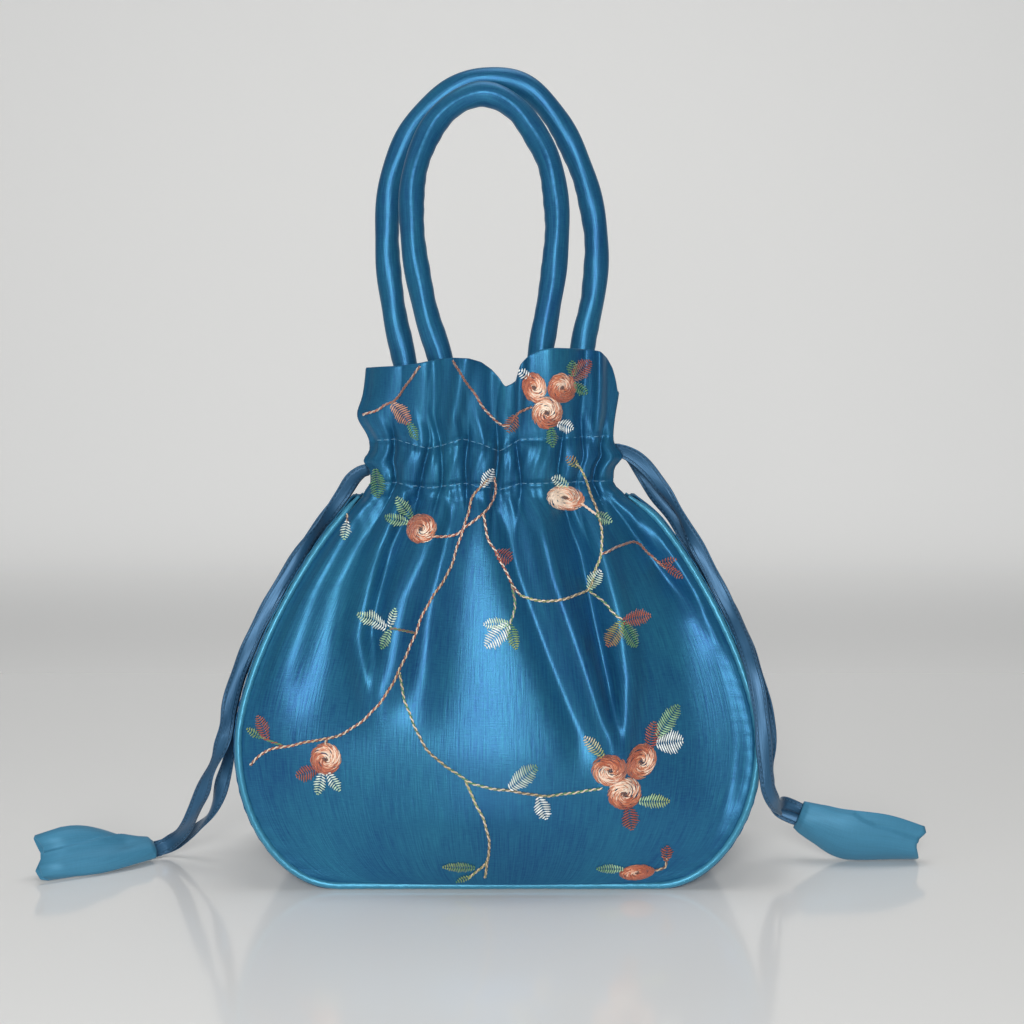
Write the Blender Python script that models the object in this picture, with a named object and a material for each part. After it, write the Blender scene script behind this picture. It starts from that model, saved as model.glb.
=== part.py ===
"""Gathered satin drawstring handbag.

A front and a back panel of embroidered satin are sewn round a gusset with a corded piping in each seam.
Both panels are gathered at a casing below their ruffled hems, where two drawstrings run through.
Two padded loop handles are sewn inside the hems, and each pair of string ends carries a satin tab.

Metres, +Z up. The origin is the middle of the base on the table, and the front faces -Y.
"""
import math

import bmesh
import bpy
import numpy as np
from mathutils import Vector
from mathutils.bvhtree import BVHTree

# Body, measured over the cloth
BODY_WIDTH = 0.220
BELLY_HEIGHT = 0.062
BASE_FLAT_WIDTH = 0.132
BASE_DEPTH = 0.080
BASE_DEPTH_HEIGHT = 0.030
SHOULDER_POWER = 1.6
GATHER_POWER = 12
GATHER_SHARE = 0.14
SIDE_POWER = 1.6
FRONT_BELLY = 0.0125
GUSSET_BELLY = 0.003
GUSSET_SWELL_START = 0.0124

# Neck, casing and ruffle
NECK_WIDTH = 0.106
NECK_SIDE_DEPTH = 0.017
NECK_BULGE = 0.015
NECK_LEAN = -0.003
LEAN_START = 0.150
CASING_LOW = 0.167
CASING_HIGH = 0.186
HEM_HEIGHT = 0.2185
HEM_WIDTH = 0.113
HEM_BULGE = 0.017
SEAM_TOP = 0.161
FACING_END = 0.158
BULGE_POWER = 2.4

# Cloth and clearances
CLOTH = 0.0008
LINING_CLOTH = 0.0006
CASING_ROOM = 0.0020
GAP = 0.0003

# Pleats of the gathers
FRONT_PLEATS = 8
BACK_PLEATS = 7
PLEAT_DEPTH = 0.0024
PLEAT_FADE_HEIGHT = 0.092
PLEAT_UNEVEN = 0.035
PLEAT_PHASE = math.pi / 4
SEAM_FADE_SHARE = 0.04
FOLD_FULL_HEIGHT = 0.1054
FOLD_NECK_SHARE = 0.25
FOLD_NECK_REACH = 0.35
COLUMNS_PER_PLEAT = 4

# Piping
PIPING_DIAMETER = 0.0032
PIPING_FLOOR_GAP = 0.0001

# Handles
HANDLE_WIDTH = 0.0110
HANDLE_THICKNESS = 0.0102
HANDLE_TONGUE_WIDTH = 0.0130
HANDLE_TONGUE_THICKNESS = 0.0030
HANDLE_FLAT_LENGTH = 0.0054
HANDLE_FULL_LENGTH = 0.0288
HANDLE_SIDES = 8
HANDLE_STEPS = 26

# Drawstrings, a folded satin ribbon drawn together into a limp cord
STRING_WIDTH = 0.0075
STRING_THICKNESS = 0.0004
STRING_FOLDED_AREA = 0.0000086
STRING_DIAMETER = 2 * math.sqrt(STRING_FOLDED_AREA / math.pi)
RIGHT_STRING_HEIGHT = 0.1812
LEFT_STRING_HEIGHT = 0.1722
STRING_STEP = 2.8

# Tabs on the string ends
TAB_CLOTH = 0.0007
TAB_ROWS = 7
TAB_COLUMNS = 12

# Embroidery
THREAD_RADIUS = 0.0006
ROSE_HEIGHT = 0.0012
LEAF_HEIGHT = 0.0008
STITCH_GAP = 0.0009
STEM_STEP = 0.0040
STEM_CREST = 0.00102
ROSE_INNER_SHARE = 0.62
ROSE_DIP_SHARE = 0.6
LEAF_SHARE = 0.17
LEAF_WIDEST_SHARE = 0.45

PIPING_RADIUS = PIPING_DIAMETER / 2
PIPING_INSET = PIPING_RADIUS + PIPING_FLOOR_GAP
PANEL_INSET = PIPING_INSET + PIPING_RADIUS + GAP
FACING_OFFSET = CLOTH + CASING_ROOM
STRING_OFFSET = CLOTH + (CASING_ROOM - STRING_THICKNESS) / 2
LINING_INSET = 0.006
LINING_EASE = 0.0085
LINING_FLOOR_EASE = 0.0051
LINING_PLEAT_EASE = GAP + 0.95 * PLEAT_DEPTH
LINING_RIPPLE = 0.3 * PLEAT_DEPTH

# Levels of the seam outline: 0 to 1 runs along the base, 1 to 2 round the corner, 2 to 3 up the side
SIDE_LEVELS = (2.0, 2.2, 2.4, 2.6, 2.76, 2.9, 3.0)
PANEL_LEVELS = (1.0, 1.22, 1.46, 1.72, *SIDE_LEVELS)
GUSSET_LEVELS = (0.0, 1.0, 1.2, 1.4, 1.6, 1.8, *SIDE_LEVELS)
PIPING_LEVELS = (0.0, 0.5, 1.0, 1.14, 1.28, 1.42, 1.56, 1.7, 1.85, *SIDE_LEVELS)
LINING_LEVELS = (1.0, 1.33, 1.66, 2.0, 2.4, 2.6, 2.76, 2.9, 3.0)
GUSSET_COLUMNS = (-1.0, -0.55, 0.0, 0.55, 1.0)

# Broad folds that fall from the gathers: place at the neck and at the belly across the panel from 0 to 1,
# height of the fold and its half-width across the panel
FRONT_FOLDS = (
    (0.07, 0.02, 0.0030, 0.035),
    (0.20, 0.25, -0.0055, 0.050),
    (0.34, 0.33, 0.0035, 0.045),
    (0.47, 0.52, 0.0030, 0.050),
    (0.53, 0.66, -0.0050, 0.035),
    (0.61, 0.71, 0.0040, 0.030),
    (0.70, 0.74, -0.0045, 0.030),
    (0.79, 0.77, 0.0040, 0.032),
    (0.90, 0.88, -0.0045, 0.045),
)
BACK_FOLDS = (
    (0.10, 0.06, 0.0030, 0.040),
    (0.24, 0.20, -0.0050, 0.045),
    (0.40, 0.36, 0.0040, 0.040),
    (0.52, 0.50, -0.0045, 0.045),
    (0.66, 0.70, 0.0040, 0.040),
    (0.84, 0.86, -0.0050, 0.050),
)

# Rise and fall of the ruffled hem: place across the panel, height and half-width
HEM_WAVES = ((0.54, -0.0095, 0.030), (0.72, 0.0055, 0.16), (0.36, 0.0015, 0.10))

# Middle lines of the handles, from one sewn end over the loop to the other
FRONT_HANDLE_ROUTE = (
    (-0.0215, -0.0132, 0.191), (-0.0230, -0.0132, 0.206), (-0.0250, -0.0134, 0.220),
    (-0.0318, -0.0128, 0.2424), (-0.0366, -0.0115, 0.267), (-0.0380, -0.0098, 0.291),
    (-0.0348, -0.0076, 0.310), (-0.0268, -0.0056, 0.326), (-0.0155, -0.0042, 0.3355),
    (-0.0040, -0.0038, 0.3373), (0.0080, -0.0048, 0.3305), (0.0168, -0.0066, 0.318),
    (0.0228, -0.0086, 0.304), (0.0254, -0.0106, 0.2835), (0.0244, -0.0122, 0.263),
    (0.0215, -0.0132, 0.243), (0.0183, -0.0138, 0.2245), (0.0168, -0.0138, 0.208),
    (0.0160, -0.0136, 0.191),
)
BACK_HANDLE_ROUTE = (
    (-0.0390, 0.0078, 0.191), (-0.0400, 0.0076, 0.206), (-0.0423, 0.0078, 0.220),
    (-0.0468, 0.0084, 0.2415), (-0.0498, 0.0090, 0.264), (-0.0500, 0.0092, 0.288),
    (-0.0468, 0.0088, 0.3073), (-0.0390, 0.0078, 0.3240), (-0.0262, 0.0064, 0.3380),
    (-0.0120, 0.0056, 0.3450), (0.0030, 0.0054, 0.3458), (0.0150, 0.0060, 0.3405),
    (0.0265, 0.0070, 0.3275), (0.0345, 0.0082, 0.3120), (0.0405, 0.0092, 0.2950),
    (0.0438, 0.0096, 0.2720), (0.0422, 0.0092, 0.2500), (0.0380, 0.0082, 0.2300),
    (0.0352, 0.0078, 0.210), (0.0340, 0.0078, 0.191),
)

# Free runs of the drawstrings, from a casing's end down the side of the bag and along the table to a tab
LEFT_FRONT_ROUTE = (
    (-0.0570, -0.0073, 0.1722), (-0.0605, -0.0078, 0.1712), (-0.0645, -0.0080, 0.1680),
    (-0.0685, -0.0078, 0.1618), (-0.0752, -0.0085, 0.1520), (-0.0814, -0.0098, 0.1420),
    (-0.0875, -0.0113, 0.1318), (-0.0935, -0.0132, 0.1220), (-0.0988, -0.0152, 0.1120),
    (-0.1036, -0.0175, 0.1020), (-0.1078, -0.0195, 0.0920), (-0.1112, -0.0210, 0.0820),
    (-0.1136, -0.0220, 0.0720), (-0.1150, -0.0222, 0.0620), (-0.1182, -0.0218, 0.0510),
    (-0.1235, -0.0205, 0.0405), (-0.1285, -0.0180, 0.0305), (-0.1338, -0.0130, 0.0210),
    (-0.1392, -0.0062, 0.0132), (-0.1445, -0.0014, 0.0082), (-0.1490, -0.0014, 0.0054),
    (-0.1528, -0.0041, 0.0044),
)
LEFT_BACK_ROUTE = (
    (-0.0570, 0.0073, 0.1722), (-0.0605, 0.0076, 0.1712), (-0.0645, 0.0066, 0.1678),
    (-0.0688, 0.0045, 0.1612), (-0.0756, 0.0026, 0.1518), (-0.0818, 0.0012, 0.1420),
    (-0.0878, 0.0004, 0.1318), (-0.0938, -0.0004, 0.1220), (-0.0994, -0.0014, 0.1120),
    (-0.1044, -0.0027, 0.1020), (-0.1086, -0.0040, 0.0920), (-0.1122, -0.0055, 0.0820),
    (-0.1146, -0.0070, 0.0720), (-0.1157, -0.0084, 0.0620), (-0.1163, -0.0094, 0.0510),
    (-0.1178, -0.0095, 0.0410), (-0.1210, -0.0085, 0.0315), (-0.1268, -0.0048, 0.0212),
    (-0.1345, 0.0005, 0.0125), (-0.1415, 0.0036, 0.0068), (-0.1470, 0.0040, 0.0047),
    (-0.1508, 0.0018, 0.0043), (-0.1546, -0.0010, 0.0043),
)
RIGHT_FRONT_ROUTE = (
    (0.0510, -0.0073, 0.1812), (0.0548, -0.0078, 0.1806), (0.0604, -0.0084, 0.1775),
    (0.0664, -0.0090, 0.1715), (0.0722, -0.0095, 0.1630), (0.0776, -0.0100, 0.1535),
    (0.0832, -0.0114, 0.1425), (0.0890, -0.0135, 0.1310), (0.0944, -0.0165, 0.1200),
    (0.0990, -0.0208, 0.1100), (0.1020, -0.0268, 0.1020), (0.1042, -0.0330, 0.0935),
    (0.1062, -0.0368, 0.0840), (0.1080, -0.0396, 0.0700), (0.1090, -0.0422, 0.0545),
    (0.1104, -0.0422, 0.0430), (0.1142, -0.0380, 0.0355), (0.1188, -0.0262, 0.0303),
    (0.1222, -0.0115, 0.0268), (0.1256, -0.0024, 0.0248), (0.1297, -0.0008, 0.0231),
    (0.1341, -0.0014, 0.0213),
)
RIGHT_BACK_ROUTE = (
    (0.0510, 0.0073, 0.1812), (0.0546, 0.0074, 0.1804), (0.0600, 0.0064, 0.1760),
    (0.0646, 0.0046, 0.1690), (0.0694, 0.0026, 0.1610), (0.0752, 0.0012, 0.1525),
    (0.0808, 0.0002, 0.1435), (0.0870, -0.0005, 0.1327), (0.0936, -0.0010, 0.1223),
    (0.0994, -0.0020, 0.1122), (0.1044, -0.0035, 0.1020), (0.1086, -0.0055, 0.0920),
    (0.1120, -0.0080, 0.0820), (0.1144, -0.0105, 0.0720), (0.1156, -0.0125, 0.0620),
    (0.1159, -0.0135, 0.0530), (0.1161, -0.0112, 0.0450), (0.1172, -0.0070, 0.0370),
    (0.1197, -0.0018, 0.0290), (0.1238, 0.0008, 0.0222), (0.1281, -0.0002, 0.0197),
    (0.1327, -0.0014, 0.0179),
)

# Tabs, from the mouth that holds the string ends to the open tip: centre, half-width, half-thickness
# and tilt of the width from level in degrees
LEFT_TAB = (
    ((-0.1530, -0.0020, 0.0046), 0.0062, 0.0037, 8),
    ((-0.1620, -0.0080, 0.0060), 0.0082, 0.0045, 28),
    ((-0.1720, -0.0150, 0.0083), 0.0100, 0.0052, 48),
    ((-0.1830, -0.0215, 0.0100), 0.0106, 0.0048, 60),
    ((-0.1940, -0.0285, 0.0092), 0.0096, 0.0046, 60),
)
RIGHT_TAB = (
    ((0.1325, -0.0012, 0.0200), 0.0062, 0.0037, 86),
    ((0.1420, -0.0030, 0.0162), 0.0090, 0.0044, 80),
    ((0.1530, -0.0045, 0.0124), 0.0114, 0.0048, 75),
    ((0.1690, -0.0042, 0.0110), 0.0110, 0.0045, 70),
    ((0.1840, -0.0030, 0.0086), 0.0082, 0.0046, 66),
)

# Embroidery on the front panel, as shares of its half-width and of its height from the seam to the casing
STEMS = (
    ((-0.0118, 0.9939), (-0.1484, 0.9602), (-0.2018, 0.9204), (-0.2209, 0.8684), (-0.2515, 0.7919),
     (-0.3087, 0.7215), (-0.3520, 0.6652), (-0.3759, 0.6040), (-0.4047, 0.5410), (-0.4638, 0.4645),
     (-0.5286, 0.4125), (-0.6277, 0.3733), (-0.7153, 0.3586), (-0.8348, 0.3433), (-0.9014, 0.3305),
     (-0.9641, 0.2962)),
    ((-0.4033, 0.5349), (-0.3628, 0.4541), (-0.3045, 0.3831), (-0.2380, 0.3305), (-0.1280, 0.2821),
     (-0.0381, 0.2613), (0.0958, 0.2472), (0.1940, 0.2399), (0.3078, 0.2436), (0.4080, 0.2540)),
    ((-0.1233, 0.2791), (-0.0870, 0.2234), (-0.0566, 0.1750), (-0.0355, 0.1151), (-0.0506, 0.0636),
     (-0.1571, 0.0208)),
    ((-0.8348, 0.3433), (-0.8882, 0.3543), (-0.9309, 0.3635)),
    ((-0.4630, 0.8837), (-0.3691, 0.8690), (-0.2467, 0.8727), (-0.1952, 0.8947), (-0.0860, 0.9296)),
    ((-0.0860, 0.9296), (-0.0604, 0.8678), (-0.0132, 0.8286), (0.0253, 0.7956), (0.0697, 0.7534),
     (0.1056, 0.7215), (0.1811, 0.7093), (0.2816, 0.7118), (0.3761, 0.7215), (0.4430, 0.7307),
     (0.4968, 0.7736), (0.5724, 0.8256), (0.6143, 0.8678), (0.6596, 0.9100), (0.7707, 0.9725)),
    ((0.0697, 0.7534), (0.0813, 0.6940), (0.0501, 0.6542)),
    ((0.5724, 0.8256), (0.6725, 0.8378), (0.7667, 0.8452), (0.8366, 0.8164), (0.8846, 0.7821)),
    ((0.4430, 0.7307), (0.5099, 0.7020), (0.5630, 0.6603)),
    ((0.5235, 0.9572), (0.6339, 0.9474), (0.6794, 0.9235)),
    ((-0.3654, 0.6267), (-0.4355, 0.6383), (-0.4853, 0.6420)),
    ((-0.6585, 0.3684), (-0.6693, 0.3482), (-0.6662, 0.3299)),
    ((0.4014, 0.2534), (0.4301, 0.2962), (0.4965, 0.2931), (0.5518, 0.3084)),
    ((0.4014, 0.2534), (0.4516, 0.2381), (0.4983, 0.2350)),
)
ROSES = (
    (-0.6662, 0.3299, 0.0602, 0.0379), (0.4301, 0.2962, 0.0662, 0.0392),
    (0.5518, 0.3084, 0.0585, 0.0416), (0.4983, 0.2350, 0.0654, 0.0392),
    (-0.4750, 0.8874, 0.0962, 0.0355), (0.5475, 0.9608, 0.1349, 0.0306),
)
LEAVES = (
    ((-0.9261, 0.3623), (-0.9802, 0.3819)), ((-0.8882, 0.3543), (-0.9458, 0.4186)),
    ((-0.6662, 0.3299), (-0.7990, 0.2687)), ((-0.6662, 0.3299), (-0.7079, 0.2319)),
    ((-0.6662, 0.3299), (-0.6190, 0.2411)), ((0.0430, 0.2528), (0.1415, 0.3084)),
    ((0.1583, 0.2424), (0.1922, 0.1860)), ((-0.1065, 0.0398), (-0.2509, 0.0453)),
    ((0.4301, 0.2962), (0.3250, 0.3788)), ((0.5518, 0.3084), (0.6263, 0.4125)),
    ((0.5518, 0.3084), (0.7251, 0.4492)), ((0.5518, 0.3084), (0.7241, 0.3635)),
    ((0.4983, 0.2350), (0.5781, 0.1463)), ((0.4983, 0.2350), (0.6731, 0.2044)),
    ((-0.4750, 0.8874), (-0.7375, 0.9572)), ((-0.4750, 0.8874), (-0.7256, 0.9174)),
    ((0.0000, 0.8176), (0.0827, 0.8011)), ((0.0502, 0.6554), (-0.0542, 0.6481)),
    ((0.0502, 0.6554), (-0.0471, 0.6022)), ((0.0502, 0.6554), (0.0726, 0.5900)),
    ((0.4412, 0.7295), (0.5411, 0.7736)), ((0.8764, 0.7882), (0.9662, 0.8103)),
    ((0.8828, 0.7827), (0.9482, 0.7583)), ((0.5582, 0.6640), (0.6956, 0.6603)),
    ((0.5582, 0.6640), (0.5986, 0.5961)), ((0.5582, 0.6640), (0.4685, 0.5961)),
    ((0.6702, 0.9284), (0.7211, 0.9021)), ((-0.4797, 0.6414), (-0.6405, 0.6695)),
    ((-0.4797, 0.6414), (-0.5139, 0.6940)), ((-0.4797, 0.6414), (-0.4924, 0.5900)),
)
# Embroidery on the ruffle, as shares of its half-width and of its height over the casing
RUFFLE_STEMS = (
    ((0.0787, 0.2000), (0.1640, 0.2708), (0.2585, 0.3846), (0.3677, 0.4308), (0.4296, 0.4000)),
    ((0.3269, 0.6923), (0.3822, 0.5385), (0.4301, 0.3846), (0.4775, 0.5231), (0.5412, 0.6800)),
    ((0.4301, 0.3846), (0.4778, 0.2000), (0.5079, 0.0923)),
)
RUFFLE_LEAVES = (
    ((0.5893, 0.7692), (0.7360, 0.9385)), ((0.5076, 0.1077), (0.4623, -0.0769)),
    ((0.4778, 0.2000), (0.6384, 0.1385)),
)
RUFFLE_ROSES = (
    (0.3269, 0.6923, 0.0826, 0.1415), (0.5412, 0.6800, 0.1079, 0.1785), (0.4301, 0.3846, 0.1108, 0.1908),
)

COLOURS = {
    "satin": (0.045, 0.290, 0.560), "piping": (0.090, 0.430, 0.620), "lining": (0.060, 0.260, 0.460),
    "ribbon": (0.035, 0.150, 0.300), "tab": (0.075, 0.330, 0.480), "thread": (0.620, 0.300, 0.180),
}


def smooth(low, high, value):
    """Rise from 0 at low to 1 at high, level at both ends."""
    t = np.clip((value - low) / (high - low), 0, 1)
    return t * t * (3 - 2 * t)


def shoulder(z):
    """How far height z lies between the belly and the casing, from 0 to 1."""
    return np.clip((z - BELLY_HEIGHT) / (CASING_LOW - BELLY_HEIGHT), 0, 1)


def lean(z):
    """Sideways shift of the gathered neck."""
    return NECK_LEAN * smooth(LEAN_START, CASING_LOW, z)


def outline(level, inset):
    """Point of the seam outline's right half at a level, moved inwards by inset, as half-width and height."""
    half_flat = BASE_FLAT_WIDTH / 2
    angle = np.clip(level - 1, 0, 1) * math.pi / 2
    low_x = np.minimum(level, 1) * half_flat + (BODY_WIDTH / 2 - half_flat - inset) * np.sin(angle)
    low_z = BELLY_HEIGHT - (BELLY_HEIGHT - inset) * np.cos(angle)
    high_z = BELLY_HEIGHT + np.clip(level - 2, 0, 1) * (SEAM_TOP - BELLY_HEIGHT) + 0 * inset
    rise = shoulder(high_z)
    drop = (1 - GATHER_SHARE) * rise ** SHOULDER_POWER + GATHER_SHARE * rise ** GATHER_POWER
    steepness = (1 - GATHER_SHARE) * SHOULDER_POWER * rise ** (SHOULDER_POWER - 1)
    steepness = steepness + GATHER_SHARE * GATHER_POWER * rise ** (GATHER_POWER - 1)
    narrowing = (BODY_WIDTH - NECK_WIDTH) / 2
    slope = steepness * narrowing / (CASING_LOW - BELLY_HEIGHT)
    high_x = BODY_WIDTH / 2 - narrowing * drop - inset * np.sqrt(1 + slope ** 2)
    return np.where(level <= 2, low_x, high_x), np.where(level <= 2, low_z, high_z)


def side_depth(z):
    """Half the distance between the two pipings at height z."""
    rise = np.clip((z - BASE_DEPTH_HEIGHT) / (SEAM_TOP - BASE_DEPTH_HEIGHT), 0, 1)
    return BASE_DEPTH / 2 - (BASE_DEPTH - NECK_SIDE_DEPTH) / 2 * rise ** SIDE_POWER


def broad_folds(u, z, folds):
    """Sum of soft ridges and valleys, each a bell across the panel that moves from the neck to the belly."""
    down = 1 - shoulder(z)
    strength = smooth(BASE_DEPTH_HEIGHT, FOLD_FULL_HEIGHT, z)
    strength = strength * (FOLD_NECK_SHARE + (1 - FOLD_NECK_SHARE) * smooth(0, FOLD_NECK_REACH, down))
    total = 0 * (u + z)
    for neck_place, belly_place, height, half_width in folds:
        centre = neck_place + (belly_place - neck_place) * down
        total = total + height * np.exp(-((u - centre) / half_width) ** 2)
    return total * strength * (z < CASING_LOW)


def panel_depth(u, z, wave, folds):
    """Distance of a panel's outer face from the middle plane: edge, belly, pleats and broad folds."""
    across = 1 - np.abs(2 * u - 1) ** BULGE_POWER
    belly = FRONT_BELLY * np.sin(np.clip(z / BELLY_HEIGHT, 0, 1) * math.pi / 2)
    belly = belly + (NECK_BULGE - FRONT_BELLY) * smooth(BELLY_HEIGHT, CASING_LOW, z)
    belly = belly + (HEM_BULGE - NECK_BULGE) * smooth(CASING_HIGH, HEM_HEIGHT, z)
    pleat = PLEAT_DEPTH * smooth(PLEAT_FADE_HEIGHT, CASING_LOW, z) * wave
    near_edge = smooth(0, SEAM_FADE_SHARE, u) * smooth(0, SEAM_FADE_SHARE, 1 - u)
    return side_depth(z) + CLOTH / 2 + belly * across + (pleat + broad_folds(u, z, folds)) * near_edge


def pleat_place(w):
    """Uneven spacing of the pleats: the place across the panel of evenly counted pleats."""
    return w + PLEAT_UNEVEN * np.sin(4 * math.pi * w + 1) * w * (1 - w) * 2


def hem_wave(u):
    """Rise and fall of the ruffled hem: a notch where two pleats overlap and a taller right half."""
    return sum(height * np.exp(-((u - place) / half_width) ** 2) for place, height, half_width in HEM_WAVES)


def new_material(name, finish):
    """Plain surface of one finish's colour, a satin sheen in all of them."""
    material = bpy.data.materials.get(name)
    if material is None:
        material = bpy.data.materials.new(name)
        material.use_nodes = True
        shader = material.node_tree.nodes["Principled BSDF"]
        shader.inputs["Base Color"].default_value = (*COLOURS[finish], 1)
        shader.inputs["Roughness"].default_value = 0.38
        shader.inputs["Metallic"].default_value = 0.0
        shader.inputs["Sheen Weight"].default_value = 0.3
    return material


def add_object(name, data, finish):
    """Link one sub-part with its own material under the bag's root."""
    piece = bpy.data.objects.new(name, data)
    bpy.context.scene.collection.objects.link(piece)
    piece.parent = bpy.data.objects["bag_root"]
    data.materials.append(new_material(name + "_" + finish, finish))
    return piece


def mesh_object(name, points, faces, finish):
    """Closed mesh with its faces pointing out, shaded smooth apart from its rims."""
    mesh = bpy.data.meshes.new(name)
    shape = bmesh.new()
    verts = [shape.verts.new(point) for point in points]
    for face in faces:
        shape.faces.new([verts[index] for index in face])
    bmesh.ops.recalc_face_normals(shape, faces=shape.faces)
    shape.to_mesh(mesh)
    shape.free()
    mesh.shade_smooth()
    mesh.set_sharp_from_angle(angle=math.radians(55))
    return add_object(name, mesh, finish)


def sheet_faces(rows, columns, first, closed):
    """Two triangles for each cell of a grid of points, with the same diagonal in every cell."""
    faces = []
    for row in range(rows - 1):
        for column in range(columns if closed else columns - 1):
            after = (column + 1) % columns
            a = first + row * columns + column
            b = first + row * columns + after
            c = first + (row + 1) * columns + after
            d = first + (row + 1) * columns + column
            faces += [(a, b, c), (a, c, d)]
    return faces


def cloth_shell(name, face, back, finish, closed=False, floor=None):
    """One cloth with thickness: a face grid and a back grid joined round their rims.

    A closed cloth runs round in a loop. With floor given, as the two middle points of face and back,
    the first row is closed by a fan on each side.
    """
    rows, columns = face.shape[:2]
    count = rows * columns
    points = [tuple(p) for p in np.concatenate([face.reshape(-1, 3), back.reshape(-1, 3)])]
    faces = sheet_faces(rows, columns, 0, closed)
    faces += [tuple(reversed(f)) for f in sheet_faces(rows, columns, count, closed)]
    top = (rows - 1) * columns
    for column in range(columns if closed else columns - 1):
        after = (column + 1) % columns
        faces.append((top + column, top + after, count + top + after, count + top + column))
        if floor is None:
            faces.append((column, count + column, count + after, after))
        else:
            faces.append((column, 2 * count, after))
            faces.append((count + column, count + after, 2 * count + 1))
    if floor is not None:
        points += [tuple(floor[0]), tuple(floor[1])]
    if not closed:
        for row in range(rows - 1):
            a = row * columns
            b = a + columns
            faces.append((a, b, count + b, count + a))
            faces.append((a + columns - 1, count + a + columns - 1, count + b + columns - 1, b + columns - 1))
    return mesh_object(name, points, faces, finish)


def panel_columns(pleats):
    """Even column counts across a panel, four to a pleat, and the place of each column."""
    w = np.linspace(0, 1, pleats * COLUMNS_PER_PLEAT + 1)
    return w, pleat_place(w)


def panel_point(w, z, half_width, offset, side):
    """Point of a panel's cloth, offset inwards along the depth. side is -1 for the front, 1 for the back."""
    u = pleat_place(w)
    pleats, folds = (FRONT_PLEATS, FRONT_FOLDS) if side < 0 else (BACK_PLEATS, BACK_FOLDS)
    wave = np.cos(2 * math.pi * pleats * w + PLEAT_PHASE)
    x = lean(z) + (2 * u - 1) * half_width
    y = side * (panel_depth(u, z, wave, folds) - offset)
    return np.stack(np.broadcast_arrays(x, y, z), axis=-1)


def upper_half_width(z):
    """Half-width of a panel from the casing to the hem."""
    return NECK_WIDTH / 2 + (HEM_WIDTH - NECK_WIDTH) / 2 * smooth(CASING_HIGH, HEM_HEIGHT, z)


def make_panel(name, side, pleats):
    """Panel from the base seam up through the casing, folded in at the hem and down again as its facing."""
    w = panel_columns(pleats)[0]
    wave = hem_wave(pleat_place(w) if side < 0 else 1 - pleat_place(w))
    level = np.array(PANEL_LEVELS)
    body_width, body_z = outline(level, PANEL_INSET)
    ruffle_mid = (CASING_HIGH + HEM_HEIGHT) / 2
    upper = np.array((CASING_LOW, CASING_HIGH, ruffle_mid, HEM_HEIGHT))
    heights = np.concatenate([body_z, upper, [HEM_HEIGHT + CLOTH], upper[:0:-1], [CASING_LOW, FACING_END]])
    widths = np.concatenate([body_width, upper_half_width(heights[len(level):])])
    widths[-1] = NECK_WIDTH / 2
    folded = len(level) + len(upper)
    fold_middle = CLOTH + CASING_ROOM / 2
    out = np.zeros(len(heights))
    out[folded] = fold_middle
    out[folded + 1:] = FACING_OFFSET + CLOTH
    inner = out + CLOTH
    inner[folded] = fold_middle
    inner[folded + 1:] = FACING_OFFSET
    share = smooth(CASING_HIGH, HEM_HEIGHT, heights)[:, None]
    z_face = heights[:, None] + wave[None, :] * share
    z_back = z_face.copy()
    z_back[folded] -= CLOTH
    face = panel_point(w[None, :], z_face, widths[:, None], out[:, None], side)
    back = panel_point(w[None, :], z_back, widths[:, None], inner[:, None], side)
    return cloth_shell(name, face, back, "satin")


def make_gusset():
    """Strip that runs down one side, across the base and up the other side between the two pipings."""
    half = np.array(GUSSET_LEVELS)
    level = np.concatenate([half[::-1], half[1:]])[:, None]
    sign = np.concatenate([-np.ones(len(half)), np.ones(len(half) - 1)])[:, None]
    column = np.array(GUSSET_COLUMNS)[None, :]
    height = outline(level, 0 * level)[1]
    swell = smooth(GUSSET_SWELL_START, BELLY_HEIGHT, height) - smooth(BELLY_HEIGHT, SEAM_TOP, height)
    pinch = PLEAT_DEPTH / 2 * smooth(PLEAT_FADE_HEIGHT, SEAM_TOP, height)
    belly = (GUSSET_BELLY * swell - pinch) * (1 - column ** 2)
    y = column * (side_depth(height) - PIPING_RADIUS - GAP)
    grids = []
    for inset in (0, CLOTH):
        x, z = outline(level + 0 * column, inset - belly)
        grids.append(np.stack([lean(z) + sign * x, y, z], axis=-1))
    return cloth_shell("gusset", grids[0], grids[1], "satin")


def curve_object(name, points, radius, resolution, finish):
    """Round tube along points, closed at both ends."""
    curve = bpy.data.curves.new(name, "CURVE")
    curve.dimensions = "3D"
    curve.bevel_depth = radius
    curve.bevel_resolution = resolution
    curve.use_fill_caps = True
    spline = curve.splines.new("POLY")
    spline.points.add(len(points) - 1)
    spline.points.foreach_set("co", [value for point in points for value in (*point, 1)])
    spline.use_smooth = True
    return add_object(name, curve, finish)


def make_piping(name, side):
    """Covered cord in the seam between a panel and the gusset, from one neck end round to the other."""
    half = np.array(PIPING_LEVELS)
    level = np.concatenate([half[::-1], half[1:]])
    sign = np.concatenate([-np.ones(len(half)), np.ones(len(half) - 1)])
    x, z = outline(level, PIPING_INSET)
    points = np.stack([lean(z) + sign * x, side * side_depth(z), z], axis=-1)
    return curve_object(name, points.tolist(), PIPING_RADIUS, 1, "piping")


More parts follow.
